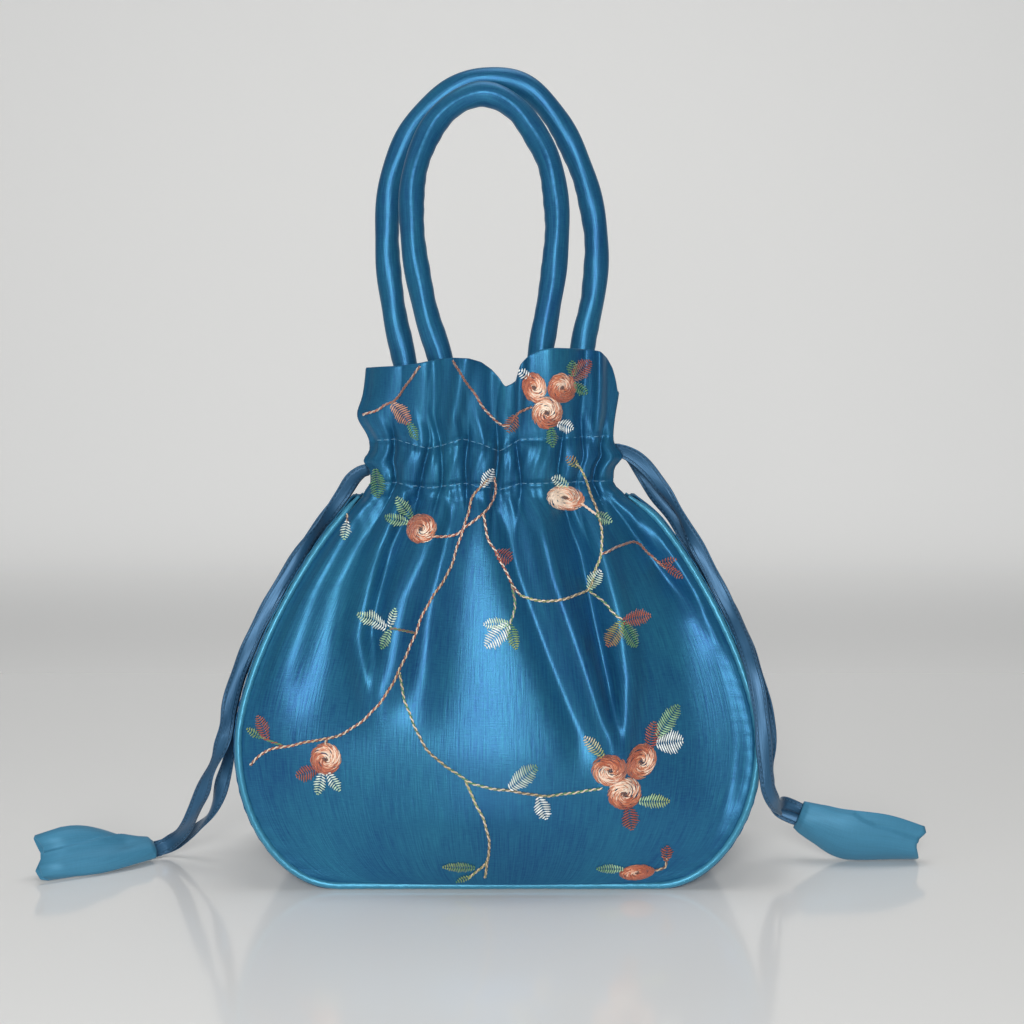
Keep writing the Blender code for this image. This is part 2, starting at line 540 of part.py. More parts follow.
def lining_half(level, side, pleats, reach):
    """One side of the lining at each level, with a column on every crest and hollow of the pleats."""
    count = 2 * pleats
    w = (np.arange(1, count + 1) - 0.25) / count
    width, height = outline(level, LINING_INSET)
    drop = np.interp(level, (2.0, 3.0), (LINING_EASE, FACING_OFFSET + CLOTH + LINING_PLEAT_EASE))
    drop = drop + reach
    drop = np.where(level < 2, LINING_FLOOR_EASE + (LINING_EASE - LINING_FLOOR_EASE) * (level - 1), drop)
    u = pleat_place(w)[None, :]
    z = height[:, None]
    belly_point = panel_point(w[None, :], z, (width - reach)[:, None], drop[:, None], side)
    ripple = LINING_RIPPLE * smooth(PLEAT_FADE_HEIGHT, CASING_LOW, z)
    ripple = ripple * np.cos(2 * math.pi * pleats * w + PLEAT_PHASE)[None, :]
    ripple = ripple * smooth(0, SEAM_FADE_SHARE, u) * smooth(0, SEAM_FADE_SHARE, 1 - u)
    belly_point[..., 1] -= side * ripple
    return belly_point if side < 0 else belly_point[:, ::-1]


def make_lining():
    """Loose inner sack, hung from the facings, with its mouth at the drawn seam and its floor on the base."""
    level = np.array(LINING_LEVELS)
    grids = []
    for reach in (0, LINING_CLOTH):
        front = lining_half(level, -1, FRONT_PLEATS, reach)
        back = lining_half(level, 1, BACK_PLEATS, reach)
        floor_z = CLOTH + GAP + reach
        for part in (front, back):
            part[..., 2] += (floor_z - LINING_INSET) * (1 - smooth(1.0, 2.0, level))[:, None]
        grids.append(np.concatenate([front, back], axis=1))
    floor = [(0, 0, CLOTH + GAP + reach) for reach in (0, LINING_CLOTH)]
    return cloth_shell("lining", grids[0], grids[1], "lining", closed=True, floor=floor)


def smooth_route(route, steps):
    """Evenly spaced points on a smooth curve through a route's points."""
    points = np.array(route)
    padded = np.concatenate([[2 * points[0] - points[1]], points, [2 * points[-1] - points[-2]]])
    fine = []
    for index in range(len(points) - 1):
        p0, p1, p2, p3 = padded[index:index + 4]
        t = np.linspace(0, 1, 12, endpoint=False)[:, None]
        fine.append(0.5 * (2 * p1 + (p2 - p0) * t + (2 * p0 - 5 * p1 + 4 * p2 - p3) * t ** 2
                           + (3 * p1 - p0 - 3 * p2 + p3) * t ** 3))
    fine = np.concatenate(fine + [points[-1:]])
    run = np.concatenate([[0], np.cumsum(np.linalg.norm(np.diff(fine, axis=0), axis=1))])
    even = np.linspace(0, run[-1], steps)
    return np.stack([np.interp(even, run, fine[:, axis]) for axis in range(3)], axis=1), run[-1]


def make_handle(name, route):
    """Padded tube bent into a loop, oval in section and pressed flat where each end is sewn to a facing."""
    points, length = smooth_route(route, HANDLE_STEPS)
    along = np.linspace(0, length, HANDLE_STEPS)
    full = smooth(HANDLE_FLAT_LENGTH, HANDLE_FULL_LENGTH, np.minimum(along, length - along))
    wide = HANDLE_TONGUE_WIDTH + (HANDLE_WIDTH - HANDLE_TONGUE_WIDTH) * full
    thick = HANDLE_TONGUE_THICKNESS + (HANDLE_THICKNESS - HANDLE_TONGUE_THICKNESS) * full
    tangent = np.gradient(points, axis=0)
    tangent /= np.linalg.norm(tangent, axis=1)[:, None]
    across = np.cross(tangent, (0, 1, 0))
    across /= np.linalg.norm(across, axis=1)[:, None]
    deep = np.cross(across, tangent)
    angle = (np.arange(HANDLE_SIDES) + 0.5) * 2 * math.pi / HANDLE_SIDES
    ring = (across[:, None, :] * (wide / 2)[:, None, None] * np.cos(angle)[None, :, None]
            + deep[:, None, :] * (thick / 2)[:, None, None] * np.sin(angle)[None, :, None])
    skin = points[:, None, :] + ring
    faces = sheet_faces(HANDLE_STEPS, HANDLE_SIDES, 0, True)
    faces.append(tuple(range(HANDLE_SIDES)))
    last = (HANDLE_STEPS - 1) * HANDLE_SIDES
    faces.append(tuple(range(last + HANDLE_SIDES - 1, last - 1, -1)))
    return mesh_object(name, skin.reshape(-1, 3).tolist(), faces, "satin")


def make_casing_string(name, height, open_side):
    """Flat run of a drawstring inside both casings, from its exit round the other side and back."""
    front = panel_columns(FRONT_PLEATS)[0]
    back = panel_columns(BACK_PLEATS)[0]
    if open_side > 0:
        front = front[::-1]
    else:
        back = back[::-1]
    grids = []
    for offset in (STRING_OFFSET, STRING_OFFSET + STRING_THICKNESS):
        rows = []
        for z in (height - STRING_WIDTH / 2, height + STRING_WIDTH / 2):
            half = NECK_WIDTH / 2
            runs = [panel_point(front, np.full(front.shape, z), half, offset, -1),
                    panel_point(back, np.full(back.shape, z), half, offset, 1)]
            turn = -open_side * (GAP + STRING_OFFSET + STRING_THICKNESS - offset)
            runs[0][-1, 0] += turn
            runs[1][0, 0] += turn
            rows.append(np.concatenate(runs))
        grids.append(np.stack(rows))
    return cloth_shell(name, grids[0], grids[1], "ribbon")


def make_string(name, route):
    """Free run of a drawstring, a limp cord on a smooth curve through its route."""
    length = smooth_route(route, 2)[1]
    steps = max(2, round(length / (STRING_STEP * STRING_DIAMETER))) + 1
    return curve_object(name, smooth_route(route, steps)[0].tolist(), STRING_DIAMETER / 2, 2, "ribbon")


def make_tab(name, stations):
    """Open-ended satin sleeve, narrow where it holds the string ends and full towards its tip."""
    table = np.array([(*centre, wide, thick, math.radians(tilt)) for centre, wide, thick, tilt in stations])
    place = np.linspace(0, len(stations) - 1, TAB_ROWS)
    rows = np.stack([np.interp(place, range(len(stations)), table[:, k]) for k in range(6)], axis=1)
    heading = np.gradient(rows[:, :3], axis=0)
    heading /= np.linalg.norm(heading, axis=1)[:, None]
    level = np.cross(heading, (0, 0, 1))
    level /= np.linalg.norm(level, axis=1)[:, None]
    upright = np.cross(level, heading)
    tilt = rows[:, 5:6]
    wide = level * np.cos(tilt) + upright * np.sin(tilt)
    thick = np.cross(wide, heading)
    angle = np.arange(TAB_COLUMNS) * 2 * math.pi / TAB_COLUMNS
    grids = []
    for inset in (0, TAB_CLOTH):
        ring = (wide[:, None, :] * (rows[:, 3] - inset)[:, None, None] * np.cos(angle)[None, :, None]
                + thick[:, None, :] * (rows[:, 4] - inset)[:, None, None] * np.sin(angle)[None, :, None])
        grids.append(rows[:, None, :3] + ring)
    return cloth_shell(name, grids[0], grids[1], "tab", closed=True)


def on_panel(tree, places, lift):
    """Points a little in front of the front panel's cloth at places across and up the panel."""
    points = []
    for x, z in places:
        hit = tree.ray_cast(Vector((x, -BASE_DEPTH * 2, z)), Vector((0, 1, 0)))[0]
        points.append((x, hit.y - lift, z))
    return np.array(points)


def crest_tree():
    """Smooth surface that rests on the crests of the front ruffle's pleats."""
    u = np.linspace(0, 1, 25)[None, :]
    z = np.linspace(CASING_LOW, HEM_HEIGHT, 6)[:, None]
    x = lean(z) + (2 * u - 1) * upper_half_width(z)
    y = -panel_depth(u, z, math.cos(math.pi / COLUMNS_PER_PLEAT), FRONT_FOLDS)
    points = np.stack(np.broadcast_arrays(x, y, z), axis=-1)
    return BVHTree.FromPolygons(points.reshape(-1, 3).tolist(), sheet_faces(6, 25, 0, False))


def flat_patch(tree, rim, more, lift):
    """Points in front of the flat patch that lies closest over the cloth inside a rim."""
    middle = np.mean(rim, axis=0)
    edges = (rim + np.roll(rim, 1, axis=0)) / 2
    around = on_panel(tree, np.concatenate([rim, (rim + middle) / 2, edges, [middle]]), 0)
    frame = np.column_stack([np.ones(len(around)), around[:, 0], around[:, 2]])
    plane = np.linalg.lstsq(frame, around[:, 1], rcond=None)[0]
    highest = np.min(around[:, 1] - frame @ plane)
    places = np.array(more)
    depth = plane[0] + places[:, 0] * plane[1] + places[:, 1] * plane[2] + highest - lift
    return np.column_stack([places[:, 0], depth, places[:, 1]])


def stem_mesh(tree, places):
    """Twisted thread laid along the cloth, three-sided, with its flat against the cloth."""
    flat = [(x, 0, z) for x, z in places]
    steps = max(3, round(smooth_route(flat, 2)[1] / STEM_STEP)) + 1
    line = smooth_route(flat, steps)[0][:, (0, 2)]
    tangent = np.gradient(line, axis=0)
    across = tangent[:, ::-1] * (1, -1)
    across *= (THREAD_RADIUS / np.linalg.norm(across, axis=1))[:, None]
    sides = [on_panel(tree, line + side * across, STITCH_GAP) for side in (-1, 1)]
    crest = on_panel(tree, line, STITCH_GAP + STEM_CREST)
    skin = np.stack([*sides, crest], axis=1)
    faces = sheet_faces(steps, 3, 0, True)
    last = 3 * (steps - 1)
    return skin.reshape(-1, 3), faces + [(0, 1, 2), (last + 2, last + 1, last)]


def rose_mesh(tree, x, z, half_width, half_height):
    """Rose worked in satin stitch: a low dome with a dip in its middle."""
    sides = 8
    angle = np.arange(sides) * 2 * math.pi / sides
    rim = np.stack([x + half_width * np.cos(angle), z + half_height * np.sin(angle)], axis=1)
    inner = (x, z) + ROSE_INNER_SHARE * (rim - (x, z))
    points = [flat_patch(tree, rim, rim, STITCH_GAP), flat_patch(tree, rim, inner, STITCH_GAP + ROSE_HEIGHT)]
    middle = flat_patch(tree, rim, [(x, z)], STITCH_GAP + ROSE_DIP_SHARE * ROSE_HEIGHT)
    under = on_panel(tree, [(x, z)], STITCH_GAP)
    faces = sheet_faces(2, sides, 0, True)
    for side in range(sides):
        after = (side + 1) % sides
        faces.append((sides + side, sides + after, 2 * sides))
        faces.append((after, side, 2 * sides + 1))
    return np.concatenate([*points, middle, under]), faces


def leaf_mesh(tree, base, tip):
    """Leaf worked in feather stitch: a pointed lens that is highest along its middle."""
    base, tip = np.array(base), np.array(tip)
    side = np.array((tip[1] - base[1], base[0] - tip[0])) * LEAF_SHARE
    middle = base + LEAF_WIDEST_SHARE * (tip - base)
    outline_places = np.array([base, middle - side, tip, middle + side])
    rim = flat_patch(tree, outline_places, outline_places, STITCH_GAP)
    rim[0] = on_panel(tree, [base], STITCH_GAP + 0.8 * THREAD_RADIUS)
    top = flat_patch(tree, outline_places, [middle], STITCH_GAP + LEAF_HEIGHT)
    faces = [(0, 1, 4), (1, 2, 4), (2, 3, 4), (3, 0, 4), (0, 3, 1), (1, 3, 2)]
    return np.concatenate([rim, top]), faces


def make_spray(name, meshes):
    """Join stems, roses and leaves that overlap into one raised piece of embroidery."""
    pieces = [mesh_object(name if index == 0 else f"{name}_stitch_{index}", points.tolist(), faces, "thread")
              for index, (points, faces) in enumerate(meshes)]
    others = bpy.data.collections.new(name + "_stitches")
    for piece in pieces[1:]:
        others.objects.link(piece)
        piece.hide_render = True
        piece.display_type = "WIRE"
    union = pieces[0].modifiers.new("join", "BOOLEAN")
    union.operation = "UNION"
    union.solver = "EXACT"
    union.operand_type = "COLLECTION"
    union.collection = others
    return pieces[0]


def panel_half_width(z):
    """Half-width of a panel at height z, along its seam outline and its drawn neck."""
    side_x, side_z = outline(np.linspace(1, 3, 81), PANEL_INSET)
    neck_z = np.linspace(CASING_LOW, HEM_HEIGHT, 9)
    return np.interp(z, np.concatenate([side_z, neck_z]), np.concatenate([side_x, upper_half_width(neck_z)]))


def body_place(across, up):
    """Place on the body of a panel, for shares of its half-width and of its height up to the casing."""
    z = PANEL_INSET + (CASING_LOW - PANEL_INSET) * up
    return lean(z) + panel_half_width(z) * across, z


def ruffle_place(across, up):
    """Place on the ruffle, for shares of its half-width and of its height over the casing."""
    z = CASING_HIGH + (HEM_HEIGHT - CASING_HIGH) * up
    return lean(z) + panel_half_width(z) * across, z


def spray_meshes(tree, place, stems, roses, leaves):
    """Stems, roses and leaves of one spray of embroidery, with their shares turned into places."""
    meshes = [stem_mesh(tree, [place(*share) for share in stem]) for stem in stems]
    for across, up, wide, tall in roses:
        x, z = place(across, up)
        meshes.append(rose_mesh(tree, x, z, place(across + wide, up)[0] - x, place(across, up + tall)[1] - z))
    for base, tip in leaves:
        meshes.append(leaf_mesh(tree, place(*base), place(*tip)))
    return meshes


def make_embroidery(panel):
    """Rose vine over the front panel and a cluster of roses on its ruffle."""
    tree = BVHTree.FromObject(panel, bpy.context.evaluated_depsgraph_get())
    make_spray("embroidered_vine", spray_meshes(tree, body_place, STEMS, ROSES, LEAVES))
    make_spray("embroidered_ruffle_roses",
               spray_meshes(crest_tree(), ruffle_place, RUFFLE_STEMS, RUFFLE_ROSES, RUFFLE_LEAVES))


def build():
    """Model every sub-part of the bag."""
    for old in list(bpy.data.objects):
        bpy.data.objects.remove(old, do_unlink=True)
    root = bpy.data.objects.new("bag_root", None)
    bpy.context.scene.collection.objects.link(root)
    front = make_panel("front_panel", -1, FRONT_PLEATS)
    make_panel("back_panel", 1, BACK_PLEATS)
    make_gusset()
    make_piping("front_piping", -1)
    make_piping("back_piping", 1)
    make_lining()
    make_handle("front_handle", FRONT_HANDLE_ROUTE)
    make_handle("back_handle", BACK_HANDLE_ROUTE)
    make_casing_string("right_drawstring_casing_run", RIGHT_STRING_HEIGHT, 1)
    make_casing_string("left_drawstring_casing_run", LEFT_STRING_HEIGHT, -1)
    make_string("left_drawstring_front_end", LEFT_FRONT_ROUTE)
    make_string("left_drawstring_back_end", LEFT_BACK_ROUTE)
    make_string("right_drawstring_front_end", RIGHT_FRONT_ROUTE)
    make_string("right_drawstring_back_end", RIGHT_BACK_ROUTE)
    make_tab("left_drawstring_tab", LEFT_TAB)
    make_tab("right_drawstring_tab", RIGHT_TAB)
    make_embroidery(front)


build()
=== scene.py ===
"""Dresses the gathered satin drawstring handbag in its cloth, cords, stitching and embroidery.

Metres, +Z up. The origin is the middle of the base on the table, and the front faces -Y.
Each new surface is a function of two parameters on a grid, or a profile carried along a path.
"""
import math

import bpy
import numpy as np
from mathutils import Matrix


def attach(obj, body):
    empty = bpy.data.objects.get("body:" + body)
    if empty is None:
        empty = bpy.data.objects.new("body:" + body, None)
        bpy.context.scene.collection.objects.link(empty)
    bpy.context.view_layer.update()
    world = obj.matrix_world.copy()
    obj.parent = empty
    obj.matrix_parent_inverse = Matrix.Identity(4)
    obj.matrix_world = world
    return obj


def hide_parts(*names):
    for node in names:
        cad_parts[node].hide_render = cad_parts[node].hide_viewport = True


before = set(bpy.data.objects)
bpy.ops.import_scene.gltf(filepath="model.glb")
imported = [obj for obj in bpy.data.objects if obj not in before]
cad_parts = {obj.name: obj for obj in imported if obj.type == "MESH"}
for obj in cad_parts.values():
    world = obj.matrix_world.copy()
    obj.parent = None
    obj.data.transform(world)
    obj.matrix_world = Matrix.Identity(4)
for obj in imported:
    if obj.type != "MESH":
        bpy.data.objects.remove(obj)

bl_info = {
    "name": "Satin Drawstring Bag",
    "version": (1, 0, 0),
    "blender": (4, 5, 0),
    "location": "View3D > Sidebar > Bag",
    "description": "Builds the cloth, drawstrings, handles, stitching and embroidery of a satin handbag",
    "category": "Add Mesh",
}

TAU = 2 * math.pi

# Body, casing and ruffle, as the solids have them
BODY_WIDTH, BELLY_HEIGHT, BASE_FLAT_WIDTH = 0.220, 0.062, 0.132
BASE_DEPTH, BASE_DEPTH_HEIGHT = 0.080, 0.030
SHOULDER_POWER, GATHER_POWER, GATHER_SHARE, SIDE_POWER = 1.6, 12, 0.14, 1.6
FRONT_BELLY, NECK_BULGE, HEM_BULGE, BULGE_POWER = 0.0125, 0.015, 0.0184, 2.4
GUSSET_BELLY, GUSSET_SWELL_START = 0.003, 0.0124
NECK_WIDTH, NECK_SIDE_DEPTH, HEM_WIDTH = 0.106, 0.017, 0.113
NECK_LEAN, LEAN_START = -0.003, 0.150
CASING_LOW, CASING_HIGH, HEM_HEIGHT = 0.167, 0.186, 0.2185
SEAM_TOP, FACING_END = 0.161, 0.158
CLOTH, CASING_ROOM, GAP = 0.0008, 0.0020, 0.0003
PLEAT_FADE_HEIGHT, SEAM_FADE_SHARE = 0.092, 0.04
PIPING_RADIUS, PIPING_FLOOR_GAP = 0.0016, 0.0001
PIPING_INSET = PIPING_RADIUS + PIPING_FLOOR_GAP
SEAM_INSET = PIPING_INSET + 0.0011
FACING_OFFSET = CLOTH + CASING_ROOM + CLOTH
LINING_INSET, LINING_EASE, LINING_FLOOR_EASE = 0.006, 0.0085, 0.0051
RIGHT_STRING_HEIGHT, LEFT_STRING_HEIGHT, STRING_OFFSET = 0.1812, 0.1722, 0.0018
UPPER_ROW, LOWER_ROW = 0.1852, 0.1668
FOLD_RADIUS, THIN_CLOTH, WELD_DISTANCE = 0.0006, 0.0004, 0.00001
# Least height above the table of the tabs and of the ribbons, and rounds taken to find a place on the front
TAB_REST, RIBBON_REST, PLACE_ROUNDS = 0.0006, 0.0005, 5
# Handle's flat foot: half-width and half-thickness, and where along the handle it starts and ends to fill out
FOOT_HALF_WIDTH, FOOT_HALF_THICKNESS, FOOT_LOW, FOOT_HIGH = 0.0065, 0.0015, 0.0054, 0.0288
HANDLE_HALF_THICKNESS = 0.0051
# Cloth that the weave is laid on: round and along a tab, round and up the lining, and along both casings
TAB_ROUND, TAB_LENGTH, LINING_ROUND, LINING_HEIGHT, CASING_RUN = 0.05, 0.047, 0.4, 0.22, 0.23
# Ribbons: room behind the panel, draw of a run's open end, distance from the bag's side, and depth of the cup
RIBBON_ROOM, END_DRAW, SIDE_ROOM, CUP_DEPTH = 0.0012, 0.0004, 0.0015, 0.0009
# Height of a tab's upper layer where it laps over the lower one
LAP_HEIGHT = 0.0014
# Threads: sides, radius in the casing's rows, step and turn of a vine, space between a leaf's barbs, rose's rings
THREAD_SIDES, CASING_THREAD = 4, 0.00015
VINE_STEP, VINE_TURN, BARB_SPACE, ROSE_RINGS = 0.00042, 0.0034, 0.00104, 11
SATIN_METALLIC, SATIN_ROUGHNESS = 0.42, 0.30
RIBBON_STITCH_INSET, RIBBON_STITCH_PITCH = 0.0010, 0.0021

# Camera: its place and sensor, and in pixels of a square picture its focal length and its horizon's height
CAMERA_PLACE, SENSOR = (0.0058, -0.640, 0.203), 36
PICTURE, FOCAL, HORIZON = 1024, 1446, 400
# Lamps: place, width, power and tint. Each is taller than it is wide and aims at the bag's middle
LAMP_TALLNESS, LAMP_AIM, SKY, SKY_STRENGTH = 1.45, (0, 0, 0.13), (0.93, 0.96, 1.0), 0.21
LAMPS = (
    ("key_lamp", (-0.06, -1.15, 0.42), 0.36, 11.5, (1.0, 0.99, 0.97)),
    ("fill_lamp", (-1.00, -0.60, 0.90), 0.60, 1.5, (0.97, 0.99, 1.0)),
    ("top_lamp", (0.10, 0.10, 1.50), 0.70, 7.5, (1.0, 1.0, 1.0)),
)

# Place across the front and how far the upper row of stitches strays there; the lower row strays half as far
ROW_DRIFT = (
    (-0.0580, 0.0000), (-0.0440, 0.0008), (-0.0300, -0.0030), (-0.0240, -0.0016), (-0.0155, 0.0012),
    (-0.0074, -0.0008), (0.0003, -0.0042), (0.0070, -0.0004), (0.0092, 0.0010), (0.0490, 0.0022),
)

# Hem of the front ruffle: place across and height, with the notch where two pleats overlap
FRONT_HEM = (
    (-0.0600, 0.2166), (-0.0444, 0.2171), (-0.0342, 0.2183), (-0.0261, 0.2200), (-0.0197, 0.2204),
    (-0.0125, 0.2200), (-0.0074, 0.2186), (-0.0031, 0.2156), (0.0003, 0.2120), (0.0022, 0.2090),
    (0.0032, 0.2082), (0.0058, 0.2094), (0.0080, 0.2110), (0.0088, 0.2168), (0.0110, 0.2194),
    (0.0137, 0.2219), (0.0178, 0.2237), (0.0240, 0.2245), (0.0330, 0.2245), (0.0394, 0.2243),
    (0.0438, 0.2233), (0.0470, 0.2207), (0.0495, 0.2165), (0.0515, 0.2110), (0.0530, 0.2060),
)

# Folds of the front: line of the fold across and up the panel, height, and half-width at its two ends
FRONT_FOLDS = (
    (((-0.0450, 0.172), (-0.0640, 0.153), (-0.0810, 0.120), (-0.0920, 0.085)), 0.0034, 0.0045, 0.0090),
    (((-0.0500, 0.158), (-0.0660, 0.125), (-0.0740, 0.070)), -0.0034, 0.0040, 0.0150),
    (((-0.0400, 0.168), (-0.0527, 0.132), (-0.0594, 0.104), (-0.0515, 0.080)), 0.0038, 0.0050, 0.0064),
    (((-0.0350, 0.165), (-0.0460, 0.140), (-0.0527, 0.108), (-0.0515, 0.088)), -0.0044, 0.0040, 0.0035),
    (((-0.0240, 0.163), (-0.0311, 0.139), (-0.0411, 0.120), (-0.0485, 0.082)), 0.0046, 0.0058, 0.0095),
    (((-0.0180, 0.166), (-0.0210, 0.150), (-0.0285, 0.112), (-0.0310, 0.080)), -0.0034, 0.0038, 0.0080),
    (((-0.0075, 0.168), (-0.0090, 0.130), (-0.0030, 0.090), (0.0030, 0.010)), 0.0040, 0.0070, 0.0470),
    (((-0.0010, 0.165), (0.0083, 0.129), (0.0200, 0.098), (0.0330, 0.066)), -0.0040, 0.0038, 0.0060),
    (((0.0160, 0.160), (0.0232, 0.129), (0.0349, 0.096), (0.0480, 0.058)), 0.0056, 0.0046, 0.0058),
    (((0.0250, 0.166), (0.0349, 0.137), (0.0415, 0.104), (0.0492, 0.066)), -0.0054, 0.0046, 0.0030),
    (((0.0400, 0.160), (0.0515, 0.112), (0.0540, 0.088), (0.0500, 0.056)), 0.0050, 0.0048, 0.0056),
    (((0.0500, 0.156), (0.0740, 0.115), (0.0860, 0.040)), -0.0058, 0.0070, 0.0280),
    (((0.0527, 0.174), (0.0672, 0.154), (0.0840, 0.128), (0.0940, 0.104)), 0.0034, 0.0040, 0.0070),
    (((0.0460, 0.162), (0.0620, 0.140), (0.0780, 0.118)), -0.0042, 0.0028, 0.0060),
    (((-0.0500, 0.230), (-0.0500, 0.200), (-0.0480, 0.184)), 0.0020, 0.0080, 0.0050),
    (((-0.0285, 0.230), (-0.0270, 0.205), (-0.0255, 0.186)), -0.0026, 0.0030, 0.0024),
    (((-0.0130, 0.230), (-0.0165, 0.208), (-0.0190, 0.188)), 0.0042, 0.0048, 0.0028),
    (((-0.0030, 0.225), (-0.0030, 0.206), (-0.0020, 0.188)), -0.0036, 0.0045, 0.0034),
    (((0.0105, 0.235), (0.0095, 0.212), (0.0080, 0.190)), 0.0030, 0.0022, 0.0022),
    (((0.0240, 0.235), (0.0235, 0.210), (0.0230, 0.190)), 0.0028, 0.0085, 0.0055),
    (((0.0375, 0.235), (0.0365, 0.210), (0.0350, 0.190)), -0.0038, 0.0036, 0.0030),
    (((0.0440, 0.235), (0.0440, 0.208), (0.0430, 0.188)), 0.0042, 0.0026, 0.0024),
)
BACK_FOLDS = (
    (((-0.0460, 0.172), (-0.0640, 0.150), (-0.0900, 0.105)), 0.0028, 0.0050, 0.0090),
    (((-0.0300, 0.168), (-0.0400, 0.130), (-0.0520, 0.080)), -0.0045, 0.0050, 0.0120),
    (((-0.0140, 0.168), (-0.0180, 0.120), (-0.0260, 0.070)), 0.0034, 0.0045, 0.0110),
    (((0.0010, 0.168), (0.0020, 0.120), (0.0000, 0.070)), -0.0040, 0.0045, 0.0110),
    (((0.0170, 0.168), (0.0260, 0.120), (0.0380, 0.070)), 0.0036, 0.0045, 0.0100),
    (((0.0330, 0.166), (0.0520, 0.125), (0.0700, 0.085)), -0.0042, 0.0050, 0.0120),
    (((0.0460, 0.172), (0.0640, 0.150), (0.0880, 0.110)), 0.0028, 0.0050, 0.0090),
)

# Creases of the gathers: place across the panel at the shoulder, at both stitch rows and at the hem, and depth
CREASE_HEIGHTS = (0.135, 0.167, 0.186, 0.2185)
FRONT_CREASES = (
    (-0.0780, -0.0585, -0.0590, -0.0630, 0.0000), (-0.0590, -0.0452, -0.0438, -0.0420, 0.0034),
    (-0.0420, -0.0325, -0.0300, -0.0290, 0.0013), (-0.0300, -0.0250, -0.0245, -0.0260, 0.0018),
    (-0.0170, -0.0135, -0.0125, -0.0150, 0.0022), (-0.0040, -0.0008, -0.0012, 0.0020, 0.0036),
    (0.0080, 0.0088, 0.0085, 0.0085, 0.0022),
    (0.0320, 0.0262, 0.0268, 0.0300, 0.0018), (0.0400, 0.0330, 0.0362, 0.0370, 0.0014),
    (0.0520, 0.0405, 0.0455, 0.0470, 0.0034), (0.0750, 0.0525, 0.0530, 0.0570, 0.0000),
)
BACK_CREASES = (
    (-0.0780, -0.0585, -0.0590, -0.0630, 0.0000), (-0.0600, -0.0470, -0.0445, -0.0450, 0.0030),
    (-0.0430, -0.0345, -0.0355, -0.0370, 0.0014), (-0.0280, -0.0235, -0.0220, -0.0210, 0.0026),
    (-0.0160, -0.0110, -0.0125, -0.0120, 0.0014), (-0.0010, 0.0010, 0.0025, 0.0000, 0.0032),
    (0.0130, 0.0120, 0.0105, 0.0130, 0.0012), (0.0250, 0.0215, 0.0235, 0.0220, 0.0028),
    (0.0400, 0.0330, 0.0325, 0.0350, 0.0014), (0.0560, 0.0430, 0.0445, 0.0450, 0.0030),
    (0.0750, 0.0525, 0.0530, 0.0570, 0.0000),
)

FRONT_HANDLE_ROUTE = (
    (-0.0215, -0.0132, 0.191), (-0.0230, -0.0132, 0.206), (-0.0250, -0.0134, 0.220),
    (-0.0318, -0.0128, 0.2424), (-0.0366, -0.0115, 0.267), (-0.0380, -0.0098, 0.291),
    (-0.0348, -0.0076, 0.310), (-0.0268, -0.0056, 0.326), (-0.0155, -0.0042, 0.3355),
    (-0.0040, -0.0038, 0.3373), (0.0080, -0.0048, 0.3305), (0.0168, -0.0066, 0.318),
    (0.0228, -0.0086, 0.304), (0.0254, -0.0106, 0.2835), (0.0244, -0.0122, 0.263),
    (0.0215, -0.0132, 0.243), (0.0183, -0.0138, 0.2245), (0.0168, -0.0138, 0.208),
    (0.0160, -0.0136, 0.191),
)
BACK_HANDLE_ROUTE = (
    (-0.0390, 0.0078, 0.191), (-0.0400, 0.0076, 0.206), (-0.0423, 0.0078, 0.220),
    (-0.0468, 0.0084, 0.2415), (-0.0498, 0.0090, 0.264), (-0.0500, 0.0092, 0.288),
    (-0.0468, 0.0088, 0.3073), (-0.0390, 0.0078, 0.3240), (-0.0262, 0.0064, 0.3380),
    (-0.0120, 0.0056, 0.3450), (0.0030, 0.0054, 0.3458), (0.0150, 0.0060, 0.3405),
    (0.0265, 0.0070, 0.3275), (0.0345, 0.0082, 0.3120), (0.0405, 0.0092, 0.2950),
    (0.0438, 0.0096, 0.2720), (0.0422, 0.0092, 0.2500), (0.0380, 0.0082, 0.2300),
    (0.0352, 0.0078, 0.210), (0.0340, 0.0078, 0.191),
)

# Free runs of the drawstrings, from a casing's end down the side of the bag and along the table to a tab
LEFT_FRONT_ROUTE = (
    (-0.0570, -0.0073, 0.1722), (-0.0605, -0.0078, 0.1712), (-0.0645, -0.0080, 0.1680),
    (-0.0685, -0.0078, 0.1618), (-0.0752, -0.0085, 0.1520), (-0.0814, -0.0098, 0.1420),
    (-0.0875, -0.0113, 0.1318), (-0.0935, -0.0132, 0.1220), (-0.0988, -0.0152, 0.1120),
    (-0.1036, -0.0175, 0.1020), (-0.1078, -0.0195, 0.0920), (-0.1112, -0.0210, 0.0820),
    (-0.1136, -0.0220, 0.0720), (-0.1150, -0.0222, 0.0620), (-0.1182, -0.0218, 0.0510),
    (-0.1235, -0.0205, 0.0405), (-0.1285, -0.0180, 0.0305), (-0.1338, -0.0130, 0.0210),
    (-0.1392, -0.0062, 0.0132), (-0.1445, -0.0014, 0.0082), (-0.1490, -0.0014, 0.0054),
    (-0.1528, -0.0041, 0.0044),
)
